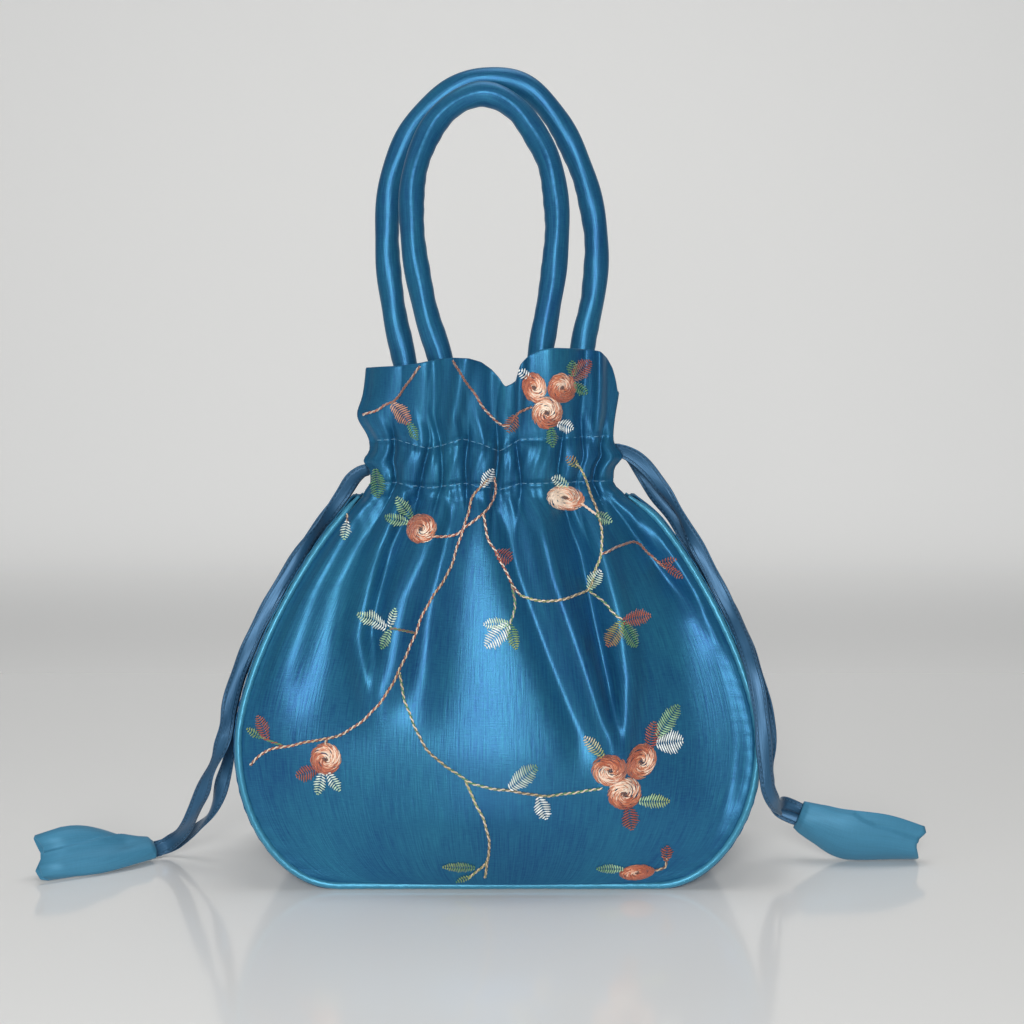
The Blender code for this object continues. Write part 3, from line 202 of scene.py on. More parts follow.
LEFT_BACK_ROUTE = (
    (-0.0570, 0.0073, 0.1722), (-0.0605, 0.0076, 0.1712), (-0.0645, 0.0066, 0.1678),
    (-0.0688, 0.0045, 0.1612), (-0.0756, 0.0026, 0.1518), (-0.0818, 0.0012, 0.1420),
    (-0.0878, 0.0004, 0.1318), (-0.0938, -0.0004, 0.1220), (-0.0994, -0.0014, 0.1120),
    (-0.1044, -0.0027, 0.1020), (-0.1086, -0.0040, 0.0920), (-0.1122, -0.0055, 0.0820),
    (-0.1146, -0.0070, 0.0720), (-0.1157, -0.0084, 0.0620), (-0.1163, -0.0094, 0.0510),
    (-0.1178, -0.0095, 0.0410), (-0.1210, -0.0085, 0.0315), (-0.1268, -0.0048, 0.0212),
    (-0.1345, 0.0005, 0.0125), (-0.1415, 0.0036, 0.0068), (-0.1470, 0.0040, 0.0047),
    (-0.1508, 0.0018, 0.0043), (-0.1546, -0.0010, 0.0043),
)
RIGHT_FRONT_ROUTE = (
    (0.0510, -0.0073, 0.1812), (0.0548, -0.0078, 0.1806), (0.0604, -0.0084, 0.1775),
    (0.0664, -0.0090, 0.1715), (0.0722, -0.0095, 0.1630), (0.0776, -0.0100, 0.1535),
    (0.0832, -0.0114, 0.1425), (0.0890, -0.0135, 0.1310), (0.0944, -0.0165, 0.1200),
    (0.0990, -0.0208, 0.1100), (0.1020, -0.0268, 0.1020), (0.1042, -0.0330, 0.0935),
    (0.1062, -0.0368, 0.0840), (0.1080, -0.0396, 0.0700), (0.1090, -0.0422, 0.0545),
    (0.1104, -0.0422, 0.0430), (0.1142, -0.0380, 0.0355), (0.1188, -0.0262, 0.0303),
    (0.1222, -0.0115, 0.0268), (0.1256, -0.0024, 0.0248), (0.1297, -0.0008, 0.0231),
    (0.1341, -0.0014, 0.0213),
)
RIGHT_BACK_ROUTE = (
    (0.0510, 0.0073, 0.1812), (0.0546, 0.0074, 0.1804), (0.0600, 0.0064, 0.1760),
    (0.0646, 0.0046, 0.1690), (0.0694, 0.0026, 0.1610), (0.0752, 0.0012, 0.1525),
    (0.0808, 0.0002, 0.1435), (0.0870, -0.0005, 0.1327), (0.0936, -0.0010, 0.1223),
    (0.0994, -0.0020, 0.1122), (0.1044, -0.0035, 0.1020), (0.1086, -0.0055, 0.0920),
    (0.1120, -0.0080, 0.0820), (0.1144, -0.0105, 0.0720), (0.1156, -0.0125, 0.0620),
    (0.1159, -0.0135, 0.0530), (0.1161, -0.0112, 0.0450), (0.1172, -0.0070, 0.0370),
    (0.1197, -0.0018, 0.0290), (0.1238, 0.0008, 0.0222), (0.1281, -0.0002, 0.0197),
    (0.1327, -0.0014, 0.0179),
)
# Strands: piece, solid, route, tab, and turn of the ribbon's face from the front in degrees at shares of its length
STRANDS = (
    ("left_drawstring_front_ribbon", "left_drawstring_front_end", LEFT_FRONT_ROUTE, "left_tab_cloth",
     ((0, 50), (0.1, 20), (0.16, 80), (0.24, 20), (0.45, 0), (0.62, 25), (0.70, -50), (0.78, 10), (0.86, 65),
      (0.93, 15), (1, 30))),
    ("left_drawstring_back_ribbon", "left_drawstring_back_end", LEFT_BACK_ROUTE, "left_tab_cloth",
     ((0, -40), (0.12, 15), (0.3, 35), (0.5, 15), (0.66, 75), (0.76, -10), (0.84, -65), (0.92, -20), (1, 20))),
    ("right_drawstring_front_ribbon", "right_drawstring_front_end", RIGHT_FRONT_ROUTE, "right_tab_cloth",
     ((0, -40), (0.1, -15), (0.17, -85), (0.26, -15), (0.45, 0), (0.6, -8), (0.75, 12), (0.9, -30), (1, -40))),
    ("right_drawstring_back_ribbon", "right_drawstring_back_end", RIGHT_BACK_ROUTE, "right_tab_cloth",
     ((0, 40), (0.12, -15), (0.3, -30), (0.5, -10), (0.66, -60), (0.8, -15), (0.92, 20), (1, 0))),
)

# Tabs: centre, half-width, half-thickness and tilt of the width from level in degrees
LEFT_TAB = (
    ((-0.1530, -0.0020, 0.0046), 0.0062, 0.0037, 8), ((-0.1620, -0.0080, 0.0060), 0.0082, 0.0045, 28),
    ((-0.1720, -0.0150, 0.0083), 0.0100, 0.0052, 48), ((-0.1830, -0.0215, 0.0100), 0.0106, 0.0048, 60),
    ((-0.1940, -0.0285, 0.0092), 0.0096, 0.0046, 60),
)
RIGHT_TAB = (
    ((0.1325, -0.0012, 0.0200), 0.0062, 0.0037, 86), ((0.1420, -0.0030, 0.0162), 0.0090, 0.0044, 80),
    ((0.1530, -0.0045, 0.0124), 0.0114, 0.0048, 75), ((0.1690, -0.0042, 0.0110), 0.0110, 0.0045, 70),
    ((0.1840, -0.0030, 0.0086), 0.0082, 0.0046, 66),
)

# Overlap of each tab's two layers: where its edge lies across the front at shares of the length, and how far
# the open end stands out at places across, from -1 at the bottom to 1 at the top
LEFT_OVERLAP = ((0, 0.70), (0.45, 0.70), (1, 0.12))
LEFT_END = ((-1, -0.0020), (-0.85, 0.0010), (-0.4, 0.0018), (0.05, -0.0014), (0.3, -0.0018), (0.9, 0.0006), (1, 0))
RIGHT_OVERLAP = ((0, 0.97), (0.55, 0.95), (0.72, 0.62), (1, 0.45))
RIGHT_END = ((-1, 0.0014), (-0.6, 0.0012), (0.15, -0.0020), (0.35, -0.0022), (0.8, 0.0018), (1, 0.0012))

# Thread colours of the embroidery
THREADS = {
    "rust": (0.360, 0.075, 0.032), "orange": (0.560, 0.165, 0.070), "peach": (0.760, 0.400, 0.250),
    "cream": (0.900, 0.740, 0.600), "white": (0.86, 0.92, 0.90), "mint": (0.42, 0.66, 0.40),
    "green": (0.055, 0.230, 0.085), "moss": (0.28, 0.36, 0.100), "red": (0.300, 0.026, 0.020),
    "brown": (0.160, 0.058, 0.036), "tan": (0.58, 0.42, 0.25),
}

# Vines: the two thread colours twisted together, and places across and up the panel
VINES = (
    ("rust", "tan", ((-0.0036, 0.1697), (-0.0104, 0.1625), (-0.0133, 0.1540), (-0.0157, 0.1455),
                     (-0.0200, 0.1330), (-0.0266, 0.1215), (-0.0320, 0.1123), (-0.0359, 0.1023),
                     (-0.0403, 0.0920), (-0.0480, 0.0795), (-0.0557, 0.0710), (-0.0667, 0.0646),
                     (-0.0761, 0.0622), (-0.0888, 0.0597), (-0.0958, 0.0576), (-0.1030, 0.0512))),
    ("green", "tan", ((-0.0403, 0.0910), (-0.0377, 0.0778), (-0.0323, 0.0662), (-0.0253, 0.0576),
                      (-0.0135, 0.0497), (-0.0040, 0.0463), (0.0100, 0.0440), (0.0202, 0.0428),
                      (0.0321, 0.0434), (0.0427, 0.0451))),
    ("moss", "tan", ((-0.0130, 0.0492), (-0.0090, 0.0401), (-0.0057, 0.0322), (-0.0034, 0.0224),
                     (-0.0045, 0.0140), (-0.0125, 0.0060))),
    ("moss", "tan", ((-0.0040, 0.0150), (-0.0052, 0.0060))),
    ("rust", "green", ((-0.0888, 0.0597), (-0.0945, 0.0615), (-0.0990, 0.0630))),
    ("rust", "peach", ((-0.0320, 0.1480), (-0.0262, 0.1456), (-0.0174, 0.1462), (-0.0132, 0.1498),
                       (-0.0061, 0.1555), (-0.0014, 0.1625), (-0.0015, 0.1700))),
    ("rust", "cream", ((-0.0061, 0.1555), (-0.0043, 0.1454), (-0.0010, 0.1390), (0.0020, 0.1336),
                       (0.0058, 0.1267), (0.0091, 0.1215))),
    ("moss", "tan", ((0.0091, 0.1215), (0.0158, 0.1195), (0.0245, 0.1199), (0.0324, 0.1215),
                     (0.0378, 0.1230), (0.0404, 0.1300), (0.0435, 0.1385), (0.0437, 0.1454),
                     (0.0430, 0.1523), (0.0400, 0.1625), (0.0361, 0.1720), (0.0331, 0.1757))),
    ("green", "brown", ((0.0058, 0.1267), (0.0072, 0.1170), (0.0046, 0.1105))),
    ("rust", "brown", ((0.0435, 0.1385), (0.0502, 0.1405), (0.0566, 0.1417), (0.0607, 0.1405),
                       (0.0644, 0.1370), (0.0693, 0.1328), (0.0722, 0.1308))),
    ("green", "tan", ((0.0378, 0.1230), (0.0448, 0.1183), (0.0481, 0.1143), (0.0514, 0.1115))),
    ("cream", "peach", ((0.0280, 0.1600), (0.0360, 0.1584), (0.0418, 0.1540))),
    ("green", "brown", ((-0.0343, 0.1060), (-0.0405, 0.1079), (-0.0450, 0.1085))),
    ("rust", "tan", ((-0.0700, 0.0638), (-0.0712, 0.0605))),
    ("brown", "tan", ((-0.0660, 0.1560), (-0.0652, 0.1500))),
    ("brown", "tan", ((0.0640, 0.0085), (0.0690, 0.0100), (0.0693, 0.0140))),
)
RUFFLE_VINES = (
    ("rust", "brown", ((-0.0333, 0.2175), (-0.0393, 0.2094), (-0.0449, 0.2030), (-0.0487, 0.2010),
                       (-0.0530, 0.1983), (-0.0592, 0.1962))),
    ("rust", "brown", ((-0.0193, 0.2200), (-0.0146, 0.2124), (-0.0108, 0.2064), (-0.0066, 0.2000),
                       (-0.0036, 0.1966), (0.0011, 0.1928), (0.0049, 0.1915))),
    ("brown", "rust", ((0.0049, 0.1930), (0.0084, 0.1975), (0.0143, 0.2004))),
)

# Roses: place, half-width, half-height, tilt in degrees, and the share of cream in each
ROSES = (
    (-0.0708, 0.0555, 0.0062, 0.0060, 20, 0.45), (0.0455, 0.0524, 0.0070, 0.0062, 10, 0.40),
    (0.0588, 0.0545, 0.0060, 0.0070, -30, 0.30), (0.0518, 0.0422, 0.0068, 0.0064, 0, 0.50),
    (-0.0326, 0.1486, 0.0064, 0.0056, 15, 0.35), (0.0288, 0.1609, 0.0078, 0.0050, -8, 0.80),
    (0.0574, 0.0078, 0.0070, 0.0032, 5, 0.10),
)
RUFFLE_ROSES = (
    (0.0152, 0.2082, 0.0048, 0.0062, 15, 0.45), (0.0271, 0.2081, 0.0060, 0.0060, 0, 0.25),
    (0.0207, 0.1975, 0.0064, 0.0066, 0, 0.55),
)

# Leaves: base, tip, thread colour at the base and at the tip, and half-width as a share of the length
LEAVES = (
    ((-0.0985, 0.0628), (-0.1050, 0.0662), "green", "moss", 0.20),
    ((-0.0955, 0.0620), (-0.1005, 0.0720), "red", "rust", 0.20),
    ((-0.0735, 0.0515), (-0.0835, 0.0478), "red", "rust", 0.26),
    ((-0.0722, 0.0500), (-0.0742, 0.0405), "white", "mint", 0.22),
    ((-0.0700, 0.0500), (-0.0645, 0.0425), "white", "mint", 0.22),
    ((0.0045, 0.0455), (0.0165, 0.0552), "white", "green", 0.20),
    ((0.0165, 0.0425), (0.0200, 0.0325), "white", "white", 0.26),
    ((-0.0090, 0.0110), (-0.0235, 0.0112), "green", "moss", 0.13),
    ((-0.0110, 0.0070), (-0.0175, 0.0040), "moss", "green", 0.16),
    ((0.0430, 0.0575), (0.0350, 0.0655), "moss", "cream", 0.20),
    ((0.0625, 0.0590), (0.0650, 0.0705), "red", "rust", 0.24),
    ((0.0655, 0.0635), (0.0760, 0.0765), "mint", "green", 0.18),
    ((0.0650, 0.0610), (0.0775, 0.0615), "white", "white", 0.30),
    ((0.0535, 0.0370), (0.0550, 0.0262), "red", "rust", 0.26),
    ((0.0575, 0.0385), (0.0715, 0.0375), "mint", "moss", 0.17),
    ((-0.0370, 0.1525), (-0.0440, 0.1618), "green", "mint", 0.20),
    ((-0.0385, 0.1505), (-0.0490, 0.1535), "mint", "green", 0.20),
    ((-0.0010, 0.1395), (0.0060, 0.1355), "red", "red", 0.34),
    ((0.0046, 0.1107), (-0.0065, 0.1105), "mint", "white", 0.20),
    ((0.0046, 0.1107), (-0.0055, 0.1010), "white", "white", 0.24),
    ((0.0046, 0.1107), (0.0078, 0.1000), "green", "moss", 0.20),
    ((0.0380, 0.1232), (0.0432, 0.1320), "mint", "white", 0.24),
    ((0.0693, 0.1328), (0.0765, 0.1350), "red", "rust", 0.18),
    ((0.0722, 0.1308), (0.0790, 0.1268), "red", "rust", 0.20),
    ((0.0700, 0.1320), (0.0762, 0.1306), "rust", "red", 0.18),
    ((0.0514, 0.1115), (0.0650, 0.1122), "red", "rust", 0.20),
    ((0.0514, 0.1115), (0.0580, 0.1000), "green", "green", 0.20),
    ((0.0514, 0.1115), (0.0450, 0.1000), "moss", "rust", 0.20),
    ((0.0418, 0.1545), (0.0490, 0.1505), "green", "mint", 0.24),
    ((-0.0460, 0.1084), (-0.0595, 0.1140), "white", "mint", 0.18),
    ((-0.0450, 0.1090), (-0.0425, 0.1170), "white", "mint", 0.18),
    ((-0.0445, 0.1080), (-0.0485, 0.0998), "mint", "green", 0.20),
    ((0.0300, 0.1660), (0.0225, 0.1700), "mint", "white", 0.26),
    ((0.0340, 0.1745), (0.0290, 0.1790), "moss", "rust", 0.28),
    ((-0.0535, 0.1735), (-0.0520, 0.1600), "green", "green", 0.22),
    ((-0.0652, 0.1510), (-0.0660, 0.1430), "white", "mint", 0.26),
    ((0.0520, 0.0095), (0.0400, 0.0100), "mint", "green", 0.14),
    ((0.0693, 0.0125), (0.0700, 0.0195), "rust", "red", 0.30),
    ((-0.0070, 0.1660), (-0.0020, 0.1740), "white", "white", 0.22),
)
RUFFLE_LEAVES = (
    ((-0.0460, 0.2015), (-0.0375, 0.1925), "peach", "rust", 0.24),
    ((-0.0385, 0.1935), (-0.0345, 0.1855), "green", "green", 0.20),
    ((0.0075, 0.1965), (0.0040, 0.1890), "rust", "brown", 0.34),
    ((0.0310, 0.2110), (0.0400, 0.2205), "rust", "red", 0.24),
    ((0.0320, 0.2130), (0.0315, 0.2200), "green", "green", 0.30),
    ((0.0320, 0.2100), (0.0385, 0.2055), "green", "green", 0.26),
    ((0.0225, 0.1915), (0.0232, 0.1825), "green", "green", 0.24),
    ((0.0250, 0.1930), (0.0325, 0.1905), "white", "white", 0.30),
    ((0.0135, 0.2120), (0.0085, 0.2155), "white", "white", 0.30),
)


LENGTH = {"subtype": "DISTANCE", "unit": "LENGTH"}
COLOUR = {"size": 3, "min": 0, "max": 1, "subtype": "COLOR"}


class BagSizes(bpy.types.PropertyGroup):
    """Sizes of the bag's soft parts that a user would change."""
    pleat_depth: bpy.props.FloatProperty(
        name="Pleat Depth", description="Height of the gathers at the casing",
        default=0.0024, min=0, max=0.005, **LENGTH)
    cloth: bpy.props.FloatProperty(
        name="Cloth Thickness", description="Thickness of the satin",
        default=0.0005, min=0.0002, max=0.0008, **LENGTH)
    pucker: bpy.props.FloatProperty(
        name="Seam Pucker", description="Height of the small ripples along seams and stitch rows",
        default=0.00035, min=0, max=0.001, **LENGTH)
    ribbon_width: bpy.props.FloatProperty(
        name="Ribbon Width", description="Width of the folded drawstring ribbon",
        default=0.0068, min=0.004, max=0.009, **LENGTH)
    ribbon_thickness: bpy.props.FloatProperty(
        name="Ribbon Thickness", description="Thickness of the folded drawstring ribbon",
        default=0.0010, min=0.0004, max=0.002, **LENGTH)
    handle_width: bpy.props.FloatProperty(
        name="Handle Width", description="Width of the padded handle tube",
        default=0.0110, min=0.008, max=0.014, **LENGTH)
    stitch_length: bpy.props.FloatProperty(
        name="Stitch Length", description="Length of a casing stitch",
        default=0.0023, min=0.001, max=0.004, **LENGTH)
    thread: bpy.props.FloatProperty(
        name="Embroidery Thread", description="Radius of one embroidery thread",
        default=0.00019, min=0.0001, max=0.0004, **LENGTH)


class BagColours(bpy.types.PropertyGroup):
    """Colours of the bag's cloths."""
    satin: bpy.props.FloatVectorProperty(
        name="Satin", description="Main colour of the satin", default=(0.006, 0.050, 0.165), **COLOUR)
    satin_light: bpy.props.FloatVectorProperty(
        name="Satin Light", description="Colour of the satin's raised threads",
        default=(0.030, 0.230, 0.320), **COLOUR)
    piping: bpy.props.FloatVectorProperty(
        name="Piping", description="Colour of the corded piping", default=(0.042, 0.200, 0.310), **COLOUR)
    lining: bpy.props.FloatVectorProperty(
        name="Lining", description="Colour of the lining", default=(0.012, 0.070, 0.150), **COLOUR)
    ribbon: bpy.props.FloatVectorProperty(
        name="Ribbon", description="Colour of the drawstring ribbon", default=(0.011, 0.058, 0.120), **COLOUR)
    tab: bpy.props.FloatVectorProperty(
        name="Tab", description="Colour of the drawstring tabs", default=(0.045, 0.180, 0.290), **COLOUR)


class Value:
    """Socket of a shader. Sums, products and powers of it add Math nodes."""

    def __init__(self, finish, socket):
        self.finish = finish
        self.socket = socket

    def maths(self, operation, first, second=None):
        return self.finish.node("Math", {"operation": operation}, {0: first, 1: second})

    def __add__(self, other):
        return self.maths("ADD", self, other)

    def __sub__(self, other):
        return self.maths("SUBTRACT", self, other)

    def __mul__(self, other):
        return self.maths("MULTIPLY", self, other)

    def __truediv__(self, other):
        return self.maths("DIVIDE", self, other)

    def __pow__(self, other):
        return self.maths("POWER", self, other)

    def __rsub__(self, other):
        return self.maths("SUBTRACT", other, self)

    def __abs__(self):
        return self.maths("ABSOLUTE", self)

    __radd__ = __add__
    __rmul__ = __mul__


class Finish:
    """Procedural material built from one Principled surface."""

    def __init__(self, name, uniform):
        self.material = bpy.data.materials.new(name)
        self.material.use_nodes = True
        self.tree = self.material.node_tree
        self.surface = self.tree.nodes["Principled BSDF"]
        for socket, value in uniform.items():
            self.surface.inputs[socket].default_value = value

    def put(self, socket, value):
        """Link a value that varies, or set one that doesn't."""
        if isinstance(value, Value):
            self.tree.links.new(value.socket, socket)
        elif value is not None:
            if hasattr(socket.default_value, "__len__") and len(value) < len(socket.default_value):
                value = (*value, 1)
            socket.default_value = value

    def node(self, kind, settings=None, links=None, out=0):
        """Node of a type with its settings, then the values or links of its sockets."""
        made = self.tree.nodes.new("ShaderNode" + kind)
        for setting, value in (settings or {}).items():
            setattr(made, setting, value)
        for socket, value in (links or {}).items():
            self.put(made.inputs[socket], value)
        return Value(self, made.outputs[out])

    def coordinates(self, source, scale):
        """Place on the piece, stretched by a scale for each axis. Source is UV or Object."""
        place = self.node("TexCoord", out=source)
        return self.node("VectorMath", {"operation": "MULTIPLY"}, {0: place, 1: scale})

    def noise(self, source, scale, detail=2.0, roughness=0.5):
        return self.node("TexNoise", {}, {"Vector": self.coordinates(source, scale), "Scale": 1.0,
                                          "Detail": detail, "Roughness": roughness})

    def mix(self, share, first, second):
        """Blend of two colours."""
        return self.node("Mix", {"data_type": "RGBA"}, {0: share, 6: first, 7: second}, out=2)

    def ramp(self, value, low, high, first=0.0, last=1.0):
        """Smooth change from first, where a value is low, to last, where it is high."""
        return self.node("MapRange", {"interpolation_type": "SMOOTHSTEP"},
                         {0: value, 1: low, 2: high, 3: first, 4: last})

    def band(self, value, centre, half_width, softness):
        """1 where a value lies within half_width of centre, falling to 0 over softness."""
        return self.ramp(abs(value - centre), half_width + softness, half_width)

    def finish(self, colour, roughness, height, strength, distance):
        self.put(self.surface.inputs["Base Color"], colour)
        self.put(self.surface.inputs["Roughness"], roughness)
        if height is not None:
            bump = self.node("Bump", {}, {"Strength": strength, "Distance": distance, "Height": height})
            self.put(self.surface.inputs["Normal"], bump)
        return self.material


def sizes():
    return bpy.context.scene.bag_sizes


def colours():
    return bpy.context.scene.bag_colours


def paler(colour, factor, lift=0.0):
    """Colour times a factor, plus a lift, and no brighter than white."""
    return tuple(min(1, value * factor + lift) for value in colour)


def once(maker, name, *values):
    """Material of a name, made by its maker the first time that it is asked for."""
    return bpy.data.materials.get(name) or maker(name, *values)


def satin_material(name, base, light, metallic, rough):
    """Satin: floats of thread run up the cloth as fine slubs, which vary its colour, gloss and relief."""
    made = Finish(name, {"Metallic": metallic, "Sheen Weight": 0.10, "Sheen Roughness": 0.35,
                         "Sheen Tint": (0.45, 0.80, 1.0, 1.0), "Specular IOR Level": 0.2})
    slub = made.noise("UV", (1500.0, 75.0, 1.0), 3.0, 0.6)
    weft = made.noise("UV", (260.0, 1900.0, 1.0), 2.0, 0.5)
    cloud = made.noise("UV", (28.0, 14.0, 1.0), 2.0, 0.5)
    share = made.node("Clamp", {}, {0: slub * 0.8 + weft * 0.35 + cloud * 0.6 - 0.56})
    colour = made.mix(share, base, light)
    roughness = rough + 0.16 * weft
    height = slub * 0.65 + weft * 0.35 + cloud * 0.8
    return made.finish(colour, roughness, height, 0.38, 0.00035)


def ribbon_material(name, base, half_width):
    """Ribbon folded in two: fine lengthwise threads and a row of stitches close to each edge."""
    made = Finish(name, {"Metallic": 0.35, "Sheen Weight": 0.08, "Specular IOR Level": 0.3})
    place = made.node("SeparateXYZ", {}, {0: made.node("TexCoord", out="UV")})
    across = abs(place)
    along = Value(made, place.socket.node.outputs[1])
    wave = made.node("Math", {"operation": "SINE"}, {0: along * (TAU / RIBBON_STITCH_PITCH)})
    row = half_width - RIBBON_STITCH_INSET
    stitch = made.band(across, row, 0.00016, 0.00012) * made.ramp(wave, -0.5, 0.1)
    hollow_and_shade = made.band(across, row, 0.00025, 0.0004)
    thread = made.noise("UV", (2400.0, 110.0, 1.0), 2.0, 0.5)
    cloud = made.noise("UV", (160.0, 45.0, 1.0), 2.0, 0.5)
    share = made.node("Clamp", {}, {0: thread * 0.7 + cloud * 0.8 - 0.35})
    cloth = made.mix(share, base, paler(base, 1.9, 0.02))
    # Along each stitch row the cloth dips, and its colour is darkened there as painted shade
    cloth = made.mix(hollow_and_shade * 0.55, cloth, paler(base, 0.55))
    colour = made.mix(stitch * 0.28, cloth, paler(base, 3.2, 0.05))
    height = thread * 0.4 + cloud * 0.7 - hollow_and_shade * 1.2 + stitch * 1.6
    return made.finish(colour, 0.34 + 0.14 * cloud, height, 0.45, 0.0003)


def thread_material(name):
    """Silk embroidery thread: each stitch's own colour with a fine twist and a soft gloss."""
    made = Finish(name, {"Metallic": 0.0, "Sheen Weight": 0.35, "Specular IOR Level": 0.5})
    colour = made.node("Attribute", {"attribute_name": "thread_colour"})
    twist = made.noise("Object", (5200.0, 5200.0, 5200.0), 1.0, 0.5)
    shade = made.node("VectorMath", {"operation": "SCALE"}, {0: colour, "Scale": 0.72 + 0.45 * twist})
    return made.finish(shade, 0.38 + 0.2 * twist, twist, 0.4, 0.0001)


def stitch_material(name, base):
    """Sewing thread in the cloth's own colour, a little paler."""
    made = Finish(name, {"Sheen Weight": 0.2, "Specular IOR Level": 0.5})
    twist = made.noise("Object", (4200.0, 4200.0, 4200.0), 1.0, 0.5)
    return made.finish(made.mix(twist, base, paler(base, 1.8, 0.06)), 0.4 + 0.1 * twist, twist, 0.3, 0.0001)


def smooth(low, high, value):
    """Rise from 0 at low to 1 at high, level at both ends."""
    t = np.clip((value - low) / (high - low), 0, 1)
    return t * t * (3 - 2 * t)


def shoulder(z):
    """How far height z lies between the belly and the casing, from 0 to 1."""
    return np.clip((z - BELLY_HEIGHT) / (CASING_LOW - BELLY_HEIGHT), 0, 1)


def lean(z):
    """Sideways shift of the gathered neck."""
    return NECK_LEAN * smooth(LEAN_START, CASING_LOW, z)


def high_half_width(z, inset):
    """Half-width above the belly: the width less two powers of the rise, less the inset across the slope."""
    rise = shoulder(z)
    narrowing = (BODY_WIDTH - NECK_WIDTH) / 2
    drop = (1 - GATHER_SHARE) * rise ** SHOULDER_POWER + GATHER_SHARE * rise ** GATHER_POWER
    steepness = ((1 - GATHER_SHARE) * SHOULDER_POWER * rise ** (SHOULDER_POWER - 1)
                 + GATHER_SHARE * GATHER_POWER * rise ** (GATHER_POWER - 1))
    slope = steepness * narrowing / (CASING_LOW - BELLY_HEIGHT)
    return BODY_WIDTH / 2 - narrowing * drop - inset * np.sqrt(1 + slope ** 2)


def outline(level, inset):
    """Right half of the seam outline: 0 to 1 along the base, 1 to 2 an elliptical corner, 2 to 3 up the side."""
    half_flat = BASE_FLAT_WIDTH / 2
    angle = np.clip(level - 1, 0, 1) * math.pi / 2
    low_x = np.minimum(level, 1) * half_flat + (BODY_WIDTH / 2 - half_flat - inset) * np.sin(angle)
    low_z = BELLY_HEIGHT - (BELLY_HEIGHT - inset) * np.cos(angle)
    high_z = BELLY_HEIGHT + np.clip(level - 2, 0, 1) * (SEAM_TOP - BELLY_HEIGHT) + 0 * inset
    return np.where(level <= 2, low_x, high_half_width(high_z, inset)), np.where(level <= 2, low_z, high_z)


def half_width(z):
    """Half-width of a panel at any height: elliptical corner, side, drawn neck and spreading ruffle."""
    half_flat = BASE_FLAT_WIDTH / 2
    corner = np.arccos(np.clip((BELLY_HEIGHT - z) / (BELLY_HEIGHT - SEAM_INSET), 0, 1))
    low = half_flat + (BODY_WIDTH / 2 - half_flat - SEAM_INSET) * np.sin(corner)
    seam = high_half_width(np.minimum(z, SEAM_TOP), SEAM_INSET)
    neck = NECK_WIDTH / 2 + (HEM_WIDTH - NECK_WIDTH) / 2 * smooth(CASING_HIGH, HEM_HEIGHT, z)
    drawn = smooth(SEAM_TOP, CASING_LOW, z)
    return np.where(z <= BELLY_HEIGHT, low, seam + (neck - seam) * drawn)


def side_depth(z):
    """Half the distance between the two pipings at height z."""
    rise = np.clip((z - BASE_DEPTH_HEIGHT) / (SEAM_TOP - BASE_DEPTH_HEIGHT), 0, 1)
    return BASE_DEPTH / 2 - (BASE_DEPTH - NECK_SIDE_DEPTH) / 2 * rise ** SIDE_POWER


def folds(x, z, lines):
    """Sum of folds, each a bell across a line that runs down the panel, fading in and out at its ends."""
    total = np.zeros(np.broadcast(x, z).shape)
    for line, height, top_width, low_width in lines:
        line_x, line_z = np.array(line)[::-1].T
        down = np.clip((line_z[-1] - z) / (line_z[-1] - line_z[0]), -1, 2)
        centre = np.interp(z, line_z, line_x)
        width = top_width + (low_width - top_width) * np.clip(down, 0, 1)
        ends = smooth(-0.06, 0.18, down) * smooth(-0.22, 0.16, 1 - down)
        power = 2.3 if height > 0 else 1.8
        total = total + height * ends * np.exp(-np.abs((x - centre) / width) ** power)
    return total


def gathers(x, z, side):
    """Relief of the gathered cloth: an arch between each two creases that run up the panel, less the creases.

    The arch is a power of 1 - s squared, where s goes from -1 at one crease to 1 at the next, and a crease
    is its depth times an exponential of the distance. The creases are curves through four places each.
    """
    x, z = np.broadcast_arrays(x, z)
    table = np.array(FRONT_CREASES if side < 0 else BACK_CREASES)
    places = np.stack([np.interp(z, CREASE_HEIGHTS, row) for row in table[:, :4]])
    order = np.arange(len(table)).reshape(-1, *(1,) * z.ndim)
    places = places + 0.0009 * np.sin(150 * z + 2.4 * order)
    arch = np.zeros(x.shape)
    for index in range(len(table) - 1):
        left, right = places[index], places[index + 1]
        s = np.clip((2 * x - left - right) / (right - left), -1, 1)
        uneven = 1 + 0.35 * math.sin(index * 2.3 + side)
        swell = (1 - s * s) ** 0.7 * np.sqrt((right - left) / 0.012) * uneven
        arch = np.maximum(arch, swell * ((x >= left) & (x <= right)))
    depth = table[:, 4].reshape(order.shape)
    width = 0.0016 + 0.025 * np.maximum(z - CASING_HIGH, 0) + 0.02 * np.maximum(CASING_LOW - z, 0)
    groove = np.sum(depth * np.exp(-np.abs(x - places) / width), axis=0)
    strength = smooth(0.136, CASING_LOW - 0.003, z)
    above = 1 - 0.90 * smooth(CASING_HIGH - 0.001, 0.198, z)
    return sizes().pleat_depth * (arch - 0.6) * strength * above - groove * strength * (0.15 + 0.85 * above)


def row_drift(x, side):
    """How far the upper row of stitches strays from its height. The back's rows are straight."""
    return np.interp(x, *np.array(ROW_DRIFT).T) if side < 0 else 0 * x


